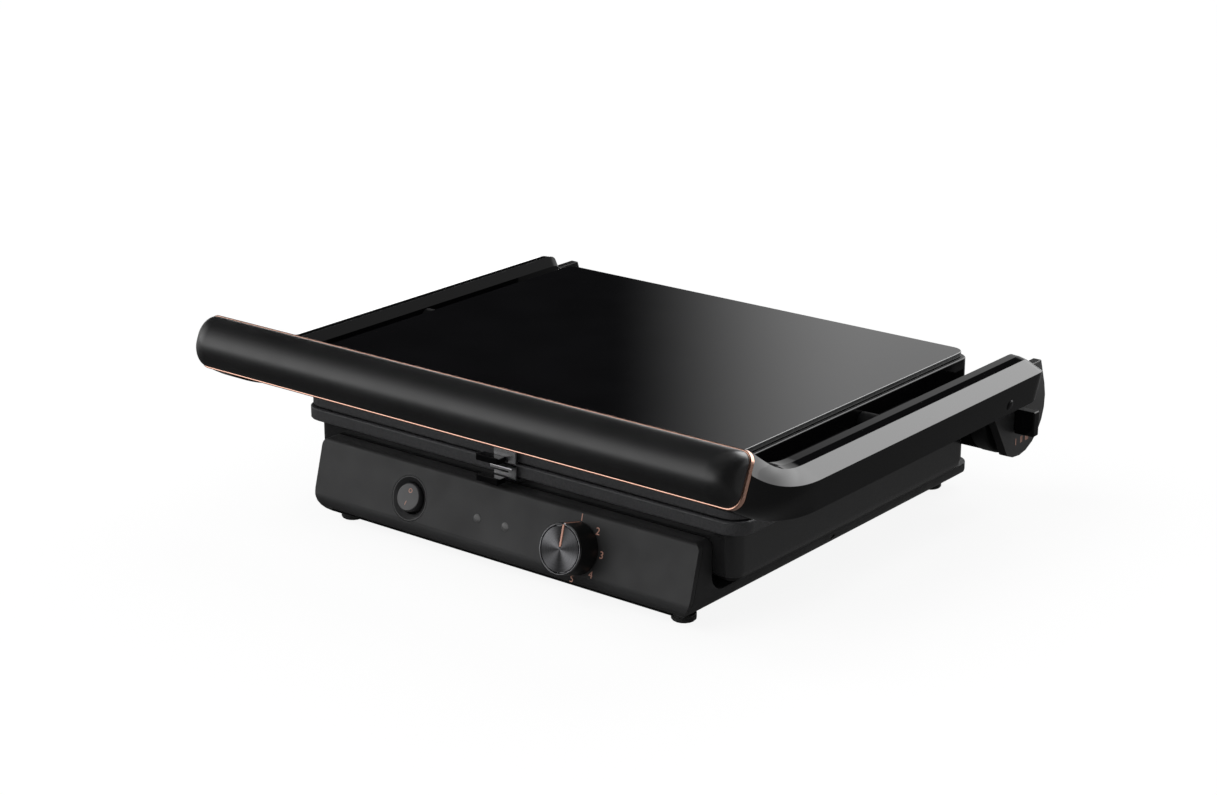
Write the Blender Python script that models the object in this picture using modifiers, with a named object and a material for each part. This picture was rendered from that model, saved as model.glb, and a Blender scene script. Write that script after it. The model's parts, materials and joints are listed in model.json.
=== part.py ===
"""Contact grill: a base with its controls, a floating lid, lifting arms and two plates.

Metres, +Z up, +X to the user's right and the front towards -Y. The origin lies on the
table at the middle of the footprint. Every piece is an object of its own. A moving piece
hangs on an empty that stands on its joint.
"""
import math

import bmesh
import bpy
from mathutils import Matrix, Vector

MM = 0.001

# Clearances, cutting allowances and the fineness of round forms
SEAT_GAP = 0.3 * MM
RUN_GAP = 0.5 * MM
OVERRUN = 2.0 * MM
WELD = 0.001 * MM
ARC_STEP = math.radians(15.0)
ARC_SLACK = 0.25
SMALL_TURN_STEPS = 16
TURN_STEPS = 20
FINE_TURN_STEPS = 32
SMOOTH_ANGLE = math.radians(35.0)
MERGE_ANGLE = math.radians(0.5)

# Feet
FOOT_HEIGHT = 5.0 * MM
FOOT_DIAMETER = 15.5 * MM
FOOT_CHAMFER = 1.0 * MM
FOOT_PEG_DIAMETER = 6.0 * MM
FOOT_PEG_REACH = 1.0 * MM
FOOT_INSET_X = 17.0 * MM
FOOT_INSET_REAR_X = 21.0 * MM
FOOT_INSET_FRONT = 21.7 * MM
FOOT_INSET_REAR = 19.5 * MM

# Heights of the stack, from the table up
TRAY_HEIGHT = 14.0 * MM
HOUSING_LIFT = 8.0 * MM
LOWER_HOUSING_HEIGHT = 33.5 * MM
RIM_HEIGHT = 8.7 * MM
PLATE_SEAM = 0.6 * MM
LID_HEIGHT = 26.3 * MM
GLASS_SHADOW_GAP = 0.4 * MM
GLASS_THICKNESS = 3.0 * MM

TRAY_TOP_Z = FOOT_HEIGHT + TRAY_HEIGHT
LOWER_HOUSING_BOTTOM_Z = TRAY_TOP_Z + HOUSING_LIFT
SEAM_Z = LOWER_HOUSING_BOTTOM_Z + LOWER_HOUSING_HEIGHT + SEAT_GAP + RIM_HEIGHT + PLATE_SEAM / 2
LID_TOP_Z = SEAM_Z + PLATE_SEAM / 2 + RIM_HEIGHT + SEAT_GAP + LID_HEIGHT
GLASS_TOP_Z = LID_TOP_Z + GLASS_SHADOW_GAP + GLASS_THICKNESS

# The hinge axis, from which the body's depths are set out
HINGE_Y = 158.05 * MM
HINGE_Z = SEAM_Z
PLATE_REAR_GAP = 10.0 * MM

# Plates
PLATE_HALF_WIDTH = 176.5 * MM
PLATE_DEPTH = 273.0 * MM
PLATE_CORNER = 14.0 * MM
UPPER_PLATE_INSET = 1.2 * MM
PLATE_EDGE = 1.2 * MM
PLATE_RIM_WIDTH = 9.0 * MM
PLATE_FLOOR = 3.2 * MM
RIB_HEIGHT = 4.2 * MM
RIB_PITCH = 12.0 * MM
RIB_WIDTH = 5.5 * MM
RIB_END_GAP = 6.0 * MM
PLATE_REAR_Y = HINGE_Y - PLATE_REAR_GAP
PLATE_FRONT_Y = PLATE_REAR_Y - PLATE_DEPTH

# Housings that carry the plates
PLATE_SIDE_OVERHANG = 7.5 * MM
PLATE_END_OVERHANG = 7.0 * MM
HOUSING_CORNER = 9.0 * MM
HOUSING_WALL = 2.5 * MM
LOWER_HOUSING_EDGE = 8.5 * MM
LID_EDGE = 1.0 * MM
HOUSING_HALF_WIDTH = PLATE_HALF_WIDTH - PLATE_SIDE_OVERHANG
HOUSING_FRONT_Y = PLATE_FRONT_Y + PLATE_END_OVERHANG
HOUSING_REAR_Y = PLATE_REAR_Y - PLATE_END_OVERHANG
HOUSING_MIDDLE_Y = (HOUSING_FRONT_Y + HOUSING_REAR_Y) / 2

# Glass on the lid
GLASS_SIDE_INSET = 3.0 * MM
GLASS_END_INSET = 0.6 * MM
GLASS_CORNER = 9.0 * MM
GLASS_EDGE = 0.6 * MM

# Heating elements and the reflectors behind them
ELEMENT_DIAMETER = 6.6 * MM
ELEMENT_INSET = 42.0 * MM
ELEMENT_BEND = 22.0 * MM
ELEMENT_TAIL_SPACING = 80.0 * MM
ELEMENT_TAIL_LENGTH = 24.0 * MM
REFLECTOR_INSET = 26.0 * MM
REFLECTOR_THICKNESS = 0.8 * MM
REFLECTOR_LIP = 4.0 * MM
REFLECTOR_CORNER = 18.0 * MM
BOSS_DIAMETER = 9.0 * MM
BOSS_INSET = 50.0 * MM

# Base shell: a low tray with a raised control box along its front
BASE_HALF_WIDTH = 152.0 * MM
BASE_WALL = 2.5 * MM
BASE_REAR_OVERHANG = 22.0 * MM
BASE_SIDE_EDGE = 16.5 * MM
BASE_FRONT_EDGE = 11.0 * MM
BASE_REAR_EDGE = 12.0 * MM
BASE_REAR_CORNER = 14.0 * MM
TRAY_TOP_EDGE = 1.5 * MM
TRAY_CAVITY_INSET = 13.0 * MM
BOX_HEIGHT = 49.0 * MM
BOX_TOP_DEPTH = 12.0 * MM
BOX_TOP_EDGE = 3.0 * MM
BOX_TOP_CORNER = 5.0 * MM
BOX_REAR_EDGE = 2.0 * MM
BOX_FILLET = 12.0 * MM
PLINTH_INSET = 22.0 * MM
PLINTH_CORNER = 12.0 * MM
NOTCH_LENGTH = 6.5 * MM
NOTCH_HEIGHT = 3.0 * MM
NOTCH_DEPTH = 3.0 * MM
NOTCH_LIFT = 8.5 * MM
NOTCH_SLANT = math.radians(32.0)
BASE_REAR_Y = HINGE_Y + BASE_REAR_OVERHANG
BOX_TOP_Z = FOOT_HEIGHT + BOX_HEIGHT
BOX_BACK_Y = HOUSING_FRONT_Y - RUN_GAP
BOX_FRONT_Y = BOX_BACK_Y - BOX_TOP_DEPTH

# Bottom cover
COVER_INSET_X = 32.0 * MM
COVER_INSET_Y = 36.0 * MM
COVER_THICKNESS = 2.2 * MM
COVER_CORNER = 10.0 * MM
COVER_LEDGE = 3.0 * MM
VENT_LENGTH = 26.0 * MM
VENT_WIDTH = 2.6 * MM
VENT_PITCH = 9.0 * MM
VENT_COUNT = 9
VENT_OFFSET_Y = 70.0 * MM

# Front fascia, and the height on it at which the controls sit
PANEL_TILT = math.radians(15.6)
FASCIA_DEPTH = 4.0 * MM
FASCIA_EDGE = 2.0 * MM
CONTROL_HEIGHT = 27.0 * MM
CONTROL_Z = FOOT_HEIGHT + CONTROL_HEIGHT
PANEL_Y = BOX_FRONT_Y - (BOX_TOP_Z - CONTROL_Z) * math.tan(PANEL_TILT)
PANEL_FOOT_Y = BOX_FRONT_Y - (BOX_TOP_Z - FOOT_HEIGHT) * math.tan(PANEL_TILT)

# Temperature knob and thermostat
KNOB_X = 65.1 * MM
KNOB_LIFT = 0.6 * MM
KNOB_DIAMETER = 31.8 * MM
KNOB_DEPTH = 16.5 * MM
KNOB_CHAMFER = 0.9 * MM
KNOB_TAPER = 0.5 * MM
KNOB_WALL = 2.2 * MM
KNOB_BACK_CUT = 9.0 * MM
KNOB_FACE_RIM = 1.6 * MM
KNOB_FACE_DEPTH = 1.2 * MM
POINTER_WIDTH = 1.2 * MM
POINTER_START = 1.5 * MM
POINTER_DEPTH = 0.9 * MM
SHAFT_DIAMETER = 6.0 * MM
SHAFT_HOLE_DIAMETER = 7.4 * MM
SHAFT_BITE = 7.0 * MM
SHAFT_HUB_WALL = 2.0 * MM
THERMOSTAT_WIDTH = 36.0 * MM
THERMOSTAT_HEIGHT = 25.0 * MM
THERMOSTAT_DEPTH = 8.0 * MM
THERMOSTAT_EDGE = 2.0 * MM

# Rocker switch
SWITCH_X = -71.2 * MM
SWITCH_BEZEL_DIAMETER = 28.8 * MM
SWITCH_BORE_DIAMETER = 20.2 * MM
SWITCH_CONE_DEPTH = 2.6 * MM
SWITCH_TUBE_DEPTH = 8.6 * MM
SWITCH_TUBE_WALL = 1.2 * MM
SWITCH_FLANGE_WALL = 1.4 * MM
SWITCH_BODY_DEPTH = 3.0 * MM
ROCKER_GAP = 0.6 * MM
ROCKER_THICKNESS = 5.0 * MM
ROCKER_DISH = 0.9 * MM
ROCKER_THROW = math.radians(16.0)
ROCKER_SINK = 2.4 * MM

# Indicator lamps
LAMP_DIAMETER = 4.7 * MM
LAMP_DOME = 1.1 * MM
LAMP_FLANGE = 1.0 * MM
LAMP_FLANGE_THICKNESS = 1.0 * MM
LAMP_LEFT_X = -14.4 * MM
LAMP_RIGHT_X = 8.4 * MM
LAMP_BOARD_MARGIN = 9.0 * MM
LAMP_BOARD_HEIGHT = 14.0 * MM
LAMP_BOARD_THICKNESS = 1.6 * MM

# Wiring inlet and terminal block
GLAND_X = 110.0 * MM
GLAND_FLANGE_DIAMETER = 12.0 * MM
GLAND_FLANGE_THICKNESS = 2.0 * MM
GLAND_SLEEVE_DIAMETER = 10.0 * MM
GLAND_BORE_DIAMETER = 7.2 * MM
GLAND_LIFT = 7.6 * MM
TERMINAL_LENGTH = 40.0 * MM
TERMINAL_DEPTH = 14.0 * MM
TERMINAL_HEIGHT = 9.0 * MM
TERMINAL_EDGE = 0.8 * MM
TERMINAL_REAR_GAP = 30.0 * MM

# Hinge tower behind the housings, its round end caps and the pins
TOWER_HOUSING_GAP = 1.8 * MM
TOWER_FRONT_STEP = 12.0 * MM
BARREL_RADIUS = 8.0 * MM
BARREL_STEP = 2.5 * MM
CAP_RADIUS = 31.0 * MM
CAP_SIDE_GAP = 1.2 * MM
CAP_OUTER_X = 189.5 * MM
CAP_EDGE = 1.0 * MM
CAP_TOP = 23.0 * MM
PEDESTAL_HALF_WIDTH = 138.0 * MM
PEDESTAL_FRONT_GAP = 4.0 * MM
TOWER_EDGE = 1.5 * MM
HINGE_PIN_DIAMETER = 11.0 * MM
HINGE_PIN_BITE = 10.0 * MM

# Arms
LID_ARM_GAP = 21.0 * MM
ARM_WIDTH = 27.0 * MM
ARM_HEIGHT = 28.0 * MM
ARM_REAR_LENGTH = 1.0 * MM
ARM_INNER_CHAMFER_X = 3.0 * MM
ARM_INNER_CHAMFER_Z = 7.0 * MM
ARM_TOP_FLAT = 11.0 * MM
ARM_FACET_DROP = 7.4 * MM
ARM_UNDERCUT = 4.0 * MM
ARM_NECK_LENGTH = 67.0 * MM
ARM_NECK_OUT_SHARE = 0.38
ARM_NECK_IN_SHARE = 0.31
ARM_NECK_STEPS = 10
ARM_BEVEL = 0.9 * MM
ARM_INNER_X = HOUSING_HALF_WIDTH + LID_ARM_GAP
ARM_OUTER_X = ARM_INNER_X + ARM_WIDTH
ARM_CENTRE_Z = GLASS_TOP_Z - ARM_HEIGHT / 2
ARM_CENTRE_RISE = ARM_CENTRE_Z - HINGE_Z

# Handle across the front of the arms
HANDLE_END_INSET = 3.5 * MM
HANDLE_HEIGHT = 34.6 * MM
HANDLE_CORNER = 9.0 * MM
HANDLE_TILT = math.radians(14.0)
HANDLE_REACH = 51.5 * MM
HANDLE_RISE = 23.3 * MM
HANDLE_BACK_INSET = 2.5 * MM
HANDLE_BACK_DEPTH = 13.5 * MM
HANDLE_BACK_EDGE = 6.0 * MM
TRIM_THICKNESS = 2.3 * MM
TRIM_BAND = 3.0 * MM
GRIP_DEPTH = 18.0 * MM
GRIP_STEP = 0.8 * MM
GRIP_NOSE_FLAT = 1.0 * MM
GRIP_RINGS = 7
GRIP_FULLEST_SHARE = 0.98
GRIP_WALL = 3.5 * MM
GRIP_POCKET_DEPTH = 8.0 * MM
HANDLE_LENGTH = 2 * (ARM_OUTER_X - HANDLE_END_INSET)
HANDLE_Y = HOUSING_FRONT_Y - HANDLE_REACH
HANDLE_Z = ARM_CENTRE_Z + HANDLE_RISE

# Brackets that carry the arms on the hinge pins
BRACKET_THICKNESS = 6.0 * MM
BRACKET_CAP_GAP = 3.0 * MM
BRACKET_RADIUS = 32.0 * MM
BRACKET_TAIL = 24.0 * MM
BRACKET_NOSE = 40.0 * MM
BRACKET_ARM_LAP = 17.2 * MM
BRACKET_FLANK_ANGLE = math.radians(241.3)
BRACKET_EDGE = 1.5 * MM
BRACKET_SKIN = 1.5 * MM
BRACKET_INNER_X = CAP_OUTER_X + BRACKET_CAP_GAP
BRACKET_OUTER_X = BRACKET_INNER_X + BRACKET_THICKNESS
BRACKET_TOP_Z = ARM_CENTRE_Z - ARM_HEIGHT / 2 + BRACKET_ARM_LAP

# Height lever on the right bracket
LEVER_TRAVEL = 14.4 * MM
LEVER_THICKNESS = 7.0 * MM
LEVER_HEIGHT = 17.0 * MM
LEVER_REACH = 14.5 * MM
LEVER_AHEAD = 9.0 * MM
LEVER_DROP = 14.0 * MM
LEVER_EDGE = 1.0 * MM
LEVER_SHANK_WIDTH = 4.0 * MM
LEVER_SHANK_HEIGHT = 4.0 * MM
LEVER_SHANK_LIFT = 2.2 * MM
LEVER_SHANK_BITE = 4.5 * MM

# Lid pivots between the arms and the lid
LID_PIVOT_FORWARD = 146.5 * MM
PIVOT_PIN_DIAMETER = 10.0 * MM
PIVOT_COLLAR_DIAMETER = 13.0 * MM
PIVOT_PIN_BITE = 10.0 * MM
PIVOT_PIN_INNER = 2.5 * MM
LID_PIVOT_Y = HINGE_Y - LID_PIVOT_FORWARD
LID_PIVOT_Z = ARM_CENTRE_Z

# Plate latches at the middle of the front
LATCH_TAB_LEFT_X = -15.0 * MM
LATCH_TAB_WIDTH = 17.0 * MM
LATCH_TAB_DEPTH = 8.0 * MM
LATCH_TAB_HEIGHT = 3.4 * MM
LATCH_TAB_LIP = 0.9 * MM
LATCH_TAB_EDGE = 0.4 * MM
CLIP_LEFT_X = -7.5 * MM
CLIP_WIDTH = 17.5 * MM
CLIP_THICKNESS = 1.2 * MM
CLIP_STANDOFF = 1.6 * MM
CLIP_TAIL = 20.0 * MM
CLIP_ROLL = 2.5 * MM
CLIP_HOOK = 1.2 * MM
CLIP_NECK_WIDTH = 6.0 * MM
CLIP_SHELF = 5.0 * MM
CLIP_SHELF_DROP = 0.8 * MM
CLIP_LIP = 2.2 * MM
CLIP_WINDOW = 3.5 * MM
LATCH_TRAVEL = 8.0 * MM

COLLECTION_NAME = "contact_grill"
CUTTER_COLLECTION_NAME = "contact_grill_cutters"


def clear_scene():
    for item in list(bpy.data.objects):
        bpy.data.objects.remove(item, do_unlink=True)
    for name in (COLLECTION_NAME, CUTTER_COLLECTION_NAME):
        collection = bpy.data.collections.new(name)
        bpy.context.scene.collection.children.link(collection)


def principled(name, colour, roughness, metallic=0.0):
    material = bpy.data.materials.new(name)
    material.use_nodes = True
    shader = material.node_tree.nodes["Principled BSDF"]
    shader.inputs["Base Color"].default_value = (*colour, 1.0)
    shader.inputs["Roughness"].default_value = roughness
    shader.inputs["Metallic"].default_value = metallic
    return material


def make_materials():
    return {
        "body_grey": principled("body_grey", (0.040, 0.040, 0.042), 0.55),
        "gloss_black": principled("gloss_black", (0.008, 0.008, 0.009), 0.12),
        "soft_grip": principled("soft_grip", (0.030, 0.030, 0.032), 0.50),
        "hinge_grey": principled("hinge_grey", (0.060, 0.060, 0.062), 0.45),
        "black_glass": principled("black_glass", (0.010, 0.010, 0.011), 0.05),
        "plate_coating": principled("plate_coating", (0.035, 0.035, 0.037), 0.48, 0.2),
        "copper": principled("copper", (0.72, 0.42, 0.32), 0.28, 1.0),
        "steel": principled("steel", (0.62, 0.62, 0.62), 0.25, 1.0),
        "knob_metal": principled("knob_metal", (0.08, 0.08, 0.085), 0.30, 1.0),
        "lens_grey": principled("lens_grey", (0.09, 0.09, 0.09), 0.35),
        "rubber": principled("rubber", (0.020, 0.020, 0.020), 0.80),
        "ceramic": principled("ceramic", (0.75, 0.72, 0.66), 0.60),
        "board_green": principled("board_green", (0.03, 0.16, 0.07), 0.50),
    }


def mesh_object(name, bm):
    bmesh.ops.recalc_face_normals(bm, faces=bm.faces)
    mesh = bpy.data.meshes.new(name)
    bm.to_mesh(mesh)
    bm.free()
    mesh.shade_smooth()
    mesh.set_sharp_from_angle(angle=SMOOTH_ANGLE)
    item = bpy.data.objects.new(name, mesh)
    bpy.data.collections[COLLECTION_NAME].objects.link(item)
    return item


def finish(item, material, mover=None):
    """Give a piece its material and hang it on the empty that moves it."""
    item.data.materials.clear()
    item.data.materials.append(material)
    if mover is not None:
        place = item.matrix_world.copy()
        item.parent = mover
        item.matrix_parent_inverse = mover.matrix_world.inverted()
        item.matrix_world = place
    return item


def make_mover(name, frame, parent=None):
    """An empty on a joint's axis, which carries the pieces that move with it."""
    mover = bpy.data.objects.new(name, None)
    bpy.data.collections[COLLECTION_NAME].objects.link(mover)
    mover.matrix_world = frame
    bpy.context.view_layer.update()
    if parent is not None:
        mover.parent = parent
        mover.matrix_parent_inverse = parent.matrix_world.inverted()
        bpy.context.view_layer.update()
    return mover


def set_aside(item):
    """Keep a shape only as the second operand of a Boolean modifier."""
    bpy.data.collections[COLLECTION_NAME].objects.unlink(item)
    bpy.data.collections[CUTTER_COLLECTION_NAME].objects.link(item)
    item.hide_render = True
    item.display_type = "WIRE"


def combine(item, other, operation):
    modifier = item.modifiers.new(other.name, "BOOLEAN")
    modifier.operation = operation
    modifier.solver = "EXACT"
    modifier.object = other
    set_aside(other)


def cut(item, *cutters):
    for cutter in cutters:
        combine(item, cutter, "DIFFERENCE")


def fuse(item, *others):
    for other in others:
        combine(item, other, "UNION")


def keep_inside(item, other):
    combine(item, other, "INTERSECT")


def round_edges(bm, edges, radius, steps):
    bmesh.ops.bevel(bm, geom=edges, offset=radius, offset_type="OFFSET", segments=steps,
                    profile=0.5, affect="EDGES", clamp_overlap=False)


def box_mesh(bm, low, high):
    middle = (Vector(low) + Vector(high)) / 2
    size = Vector(high) - Vector(low)
    frame = Matrix.Translation(middle) @ Matrix.Diagonal((*size, 1.0))
    bmesh.ops.create_cube(bm, size=1.0, matrix=frame)


def rounded_box(name, low, high, corner=0.0, top=0.0, bottom=0.0, corner_steps=5, rim_steps=3):
    """A box whose upright edges, top rim and bottom rim are rounded."""
    bm = bmesh.new()
    box_mesh(bm, low, high)
    if corner:
        upright = [e for e in bm.edges if abs(e.verts[0].co.z - e.verts[1].co.z) > WELD]
        round_edges(bm, upright, corner, corner_steps)
    for level, radius in ((high[2], top), (low[2], bottom)):
        if radius:
            rim = [e for e in bm.edges if all(abs(v.co.z - level) < WELD for v in e.verts)]
            round_edges(bm, rim, radius, rim_steps)
    return mesh_object(name, bm)


def box_row(name, boxes):
    """Several boxes that stand apart, as one cutter."""
    bm = bmesh.new()
    for low, high in boxes:
        box_mesh(bm, low, high)
    return mesh_object(name, bm)


def arc_points(centre, radius, start, end):
    """Points on an arc from one angle to another, both ends included."""
    steps = max(2, math.ceil(abs(end - start) / ARC_STEP - ARC_SLACK))
    turns = [start + (end - start) * i / steps for i in range(steps + 1)]
    return [(centre[0] + radius * math.cos(a), centre[1] + radius * math.sin(a)) for a in turns]


def rounded_outline(corners):
    """The points of a closed outline whose corners are given as (u, v, radius)."""
    points = []
    for i, (u, v, radius) in enumerate(corners):
        here = Vector((u, v))
        if not radius:
            points.append((u, v))
            continue
        back = (Vector(corners[i - 1][:2]) - here).normalized()
        ahead = (Vector(corners[(i + 1) % len(corners)][:2]) - here).normalized()
        half = back.angle(ahead) / 2
        centre = here + (back + ahead).normalized() * (radius / math.sin(half))
        reach = radius / math.tan(half)
        first = here + back * reach - centre
        last = here + ahead * reach - centre
        start = math.atan2(first.y, first.x)
        sweep = first.angle_signed(last) * -1
        points += arc_points(centre, radius, start, start + sweep)
    return points


OUTLINE_PLANES = {
    "YZ": Matrix(((0, 0, 1, 0), (1, 0, 0, 0), (0, 1, 0, 0), (0, 0, 0, 1))),
    "XZ": Matrix(((1, 0, 0, 0), (0, 0, -1, 0), (0, 1, 0, 0), (0, 0, 0, 1))),
    "XY": Matrix.Identity(4),
}


def outline_solid(name, points, plane, low, high):
    """A flat outline in one plane, extruded across it from low to high."""
    curve = bpy.data.curves.new(name, "CURVE")
    curve.dimensions = "2D"
    curve.fill_mode = "BOTH"
    curve.extrude = (high - low) / 2
    spline = curve.splines.new("POLY")
    spline.points.add(len(points) - 1)
    for point, (u, v) in zip(spline.points, points):
        point.co = (u, v, 0.0, 1.0)
    spline.use_cyclic_u = True
    middle = (low + high) / 2
    if plane == "XZ":
        middle = -middle
    frame = OUTLINE_PLANES[plane] @ Matrix.Translation((0.0, 0.0, middle))
    return curve_to_solid(name, curve, frame)


def tube(name, points, diameter):
    curve = bpy.data.curves.new(name, "CURVE")
    curve.dimensions = "3D"
    curve.bevel_depth = diameter / 2
    curve.bevel_resolution = 2
    curve.use_fill_caps = True
    spline = curve.splines.new("POLY")
    spline.points.add(len(points) - 1)
    for point, place in zip(spline.points, points):
        point.co = (*place, 1.0)
    return curve_to_solid(name, curve, Matrix.Identity(4))


def curve_to_solid(name, curve, frame):
    """Turn a curve into a closed mesh, with its loose caps welded on."""
    source = bpy.data.objects.new(name + "_curve", curve)
    bpy.data.collections[COLLECTION_NAME].objects.link(source)
    bpy.context.view_layer.update()
    evaluated = source.evaluated_get(bpy.context.evaluated_depsgraph_get())
    mesh = bpy.data.meshes.new_from_object(evaluated)
    bm = bmesh.new()
    bm.from_mesh(mesh)
    bm.transform(frame)
    bmesh.ops.remove_doubles(bm, verts=bm.verts, dist=WELD)
    bpy.data.objects.remove(source, do_unlink=True)
    bpy.data.curves.remove(curve)
    bpy.data.meshes.remove(mesh)
    return mesh_object(name, bm)


def turned(name, profile, frame, closed=False, steps=TURN_STEPS):
    """A profile of (radius, height) points, outer side downwards, turned about local Z."""
    mesh = bpy.data.meshes.new(name)
    edges = [(i, i + 1) for i in range(len(profile) - 1)]
    if closed:
        edges.append((len(profile) - 1, 0))
    mesh.from_pydata([(r, 0.0, h) for r, h in profile], edges, [])
    item = bpy.data.objects.new(name, mesh)
    bpy.data.collections[COLLECTION_NAME].objects.link(item)
    screw = item.modifiers.new("turn", "SCREW")
    screw.axis = "Z"
    screw.steps = steps
    screw.render_steps = steps
    screw.use_merge_vertices = True
    screw.merge_threshold = WELD
    screw.use_smooth_shade = True
    item.matrix_world = frame
    return item


def cylinder(name, diameter, low, high, frame, steps=TURN_STEPS):
    radius = diameter / 2
    profile = [(0.0, high), (radius, high), (radius, low), (0.0, low)]
    return turned(name, profile, frame, steps=steps)


def loft(name, rings):
    """Skin a row of closed rings, each with as many points, and cap both ends."""
    bm = bmesh.new()
    rows = [[bm.verts.new(point) for point in ring] for ring in rings]
    count = len(rings[0])
    for row, following in zip(rows, rows[1:]):
        for i in range(count):
            j = (i + 1) % count
            bm.faces.new((row[i], row[j], following[j], following[i]))
    bm.faces.new(rows[0])
    bm.faces.new(rows[-1])
    return mesh_object(name, bm)


def tilted_frame(x, y, z, tilt):
    """Local X is world X, local Y runs up a face that leans back by tilt, local Z out of it."""
    up = (0.0, math.sin(tilt), math.cos(tilt))
    out = (0.0, -math.cos(tilt), math.sin(tilt))
    turn = Matrix(((1.0, up[0], out[0]), (0.0, up[1], out[1]), (0.0, up[2], out[2])))
    return Matrix.Translation((x, y, z)) @ turn.to_4x4()


def panel_frame(x):
    return tilted_frame(x, PANEL_Y, CONTROL_Z, PANEL_TILT)


def side_frame(y, z, side=1):
    """Local Z along world X, outwards on the given side."""
    return Matrix.Translation((0.0, y, z)) @ Matrix.Rotation(side * math.pi / 2, 4, "Y")


def in_frame(item, frame):
    item.matrix_world = frame
    return item


def evaluated_mesh(item):
    """A piece's mesh with its modifiers applied, in world coordinates."""
    bpy.context.view_layer.update()
    evaluated = item.evaluated_get(bpy.context.evaluated_depsgraph_get())
    bm = bmesh.new()
    bm.from_mesh(evaluated.to_mesh())
    bm.transform(item.matrix_world)
    evaluated.to_mesh_clear()
    return bm


def mirrored(item, name):
    """The same piece on the other side of the middle plane."""
    bm = evaluated_mesh(item)
    bm.transform(Matrix.Diagonal((-1.0, 1.0, 1.0, 1.0)))
    bmesh.ops.reverse_faces(bm, faces=bm.faces)
    return mesh_object(name, bm)


def level(side, distance):
    """Height at a distance from the plates' seam: side -1 is below it and 1 above it."""
    return SEAM_Z + side * (PLATE_SEAM / 2 + distance)


def flat_box(name, side, half_width, front, rear, near, far, corner, far_edge=0.0, near_edge=0.0):
    """A rounded box between two distances from the seam, on either side of it."""
    heights = sorted((level(side, near), level(side, far)))
    top, bottom = (far_edge, near_edge) if side > 0 else (near_edge, far_edge)
    return rounded_box(name, (-half_width, front, heights[0]), (half_width, rear, heights[1]),
                       corner, top, bottom)


def base_form(name):
    """The outside of the base: side profile, front outline and plan outline in common."""
    side = rounded_outline([
        (PANEL_FOOT_Y, FOOT_HEIGHT, BASE_FRONT_EDGE),
        (BASE_REAR_Y, FOOT_HEIGHT, BASE_REAR_EDGE),
        (BASE_REAR_Y, TRAY_TOP_Z, TRAY_TOP_EDGE),
        (BOX_BACK_Y, TRAY_TOP_Z, BOX_FILLET),
        (BOX_BACK_Y, BOX_TOP_Z, BOX_REAR_EDGE),
        (BOX_FRONT_Y, BOX_TOP_Z, BOX_TOP_EDGE),
    ])
    front = rounded_outline([
        (-BASE_HALF_WIDTH, FOOT_HEIGHT, BASE_SIDE_EDGE),
        (BASE_HALF_WIDTH, FOOT_HEIGHT, BASE_SIDE_EDGE),
        (BASE_HALF_WIDTH, BOX_TOP_Z, BOX_TOP_CORNER),
        (-BASE_HALF_WIDTH, BOX_TOP_Z, BOX_TOP_CORNER),
    ])
    ahead = PANEL_FOOT_Y - OVERRUN
    plan = rounded_outline([
        (-BASE_HALF_WIDTH - OVERRUN, ahead, 0.0),
        (BASE_HALF_WIDTH + OVERRUN, ahead, 0.0),
        (BASE_HALF_WIDTH + OVERRUN, BASE_REAR_Y - 2 * BASE_REAR_CORNER, 0.0),
        (BASE_HALF_WIDTH, BASE_REAR_Y - 2 * BASE_REAR_CORNER, 0.0),
        (BASE_HALF_WIDTH, BASE_REAR_Y, BASE_REAR_CORNER),
        (-BASE_HALF_WIDTH, BASE_REAR_Y, BASE_REAR_CORNER),
        (-BASE_HALF_WIDTH, BASE_REAR_Y - 2 * BASE_REAR_CORNER, 0.0),
        (-BASE_HALF_WIDTH - OVERRUN, BASE_REAR_Y - 2 * BASE_REAR_CORNER, 0.0),
    ])
    reach = BASE_HALF_WIDTH + OVERRUN
    form = outline_solid(name, side, "YZ", -reach, reach)
    keep_inside(form, outline_solid(name + "_front_outline", front, "XZ",
                                    PANEL_FOOT_Y - OVERRUN, BASE_REAR_Y + OVERRUN))
    keep_inside(form, outline_solid(name + "_plan_outline", plan, "XY",
                                    FOOT_HEIGHT - OVERRUN, BOX_TOP_Z + OVERRUN))
    return form


def ahead_of_panel(name, depth):
    """A block that takes everything in front of a plane at this depth behind the panel."""
    reach = BASE_HALF_WIDTH + OVERRUN
    block = rounded_box(name, (-reach, -reach, -depth), (reach, reach, reach))
    return in_frame(block, panel_frame(0.0))


def base_cavities():
    """The hollow of the control box, the tray and the plinth, and the bottom opening."""
    box_front = PANEL_FOOT_Y - OVERRUN
    tray_half = BASE_HALF_WIDTH - TRAY_CAVITY_INSET
    floor = FOOT_HEIGHT + BASE_WALL
    tray_front = BOX_BACK_Y - BASE_WALL - OVERRUN
    control_box = rounded_box("control_box_cavity", (-tray_half, box_front, floor),
                              (tray_half, BOX_BACK_Y - BASE_WALL, BOX_TOP_Z - BASE_WALL))
    tray = rounded_box("tray_cavity", (-tray_half, tray_front, floor),
                       (tray_half, BASE_REAR_Y - TRAY_CAVITY_INSET, TRAY_TOP_Z - BASE_WALL),
                       PLINTH_CORNER)
    inset = PLINTH_INSET + BASE_WALL
    plinth = rounded_box("plinth_cavity",
                         (-BASE_HALF_WIDTH + inset, plinth_front() + BASE_WALL, floor + WELD),
                         (BASE_HALF_WIDTH - inset, plinth_rear() - BASE_WALL,
                          LOWER_HOUSING_BOTTOM_Z - SEAT_GAP - BASE_WALL), PLINTH_CORNER - BASE_WALL)
    cover_seat = cover_box("cover_seat", SEAT_GAP, FOOT_HEIGHT - OVERRUN, floor + WELD)
    return control_box, tray, plinth, cover_seat


def plinth_front():
    return BOX_BACK_Y + BOX_FILLET + RUN_GAP


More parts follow.
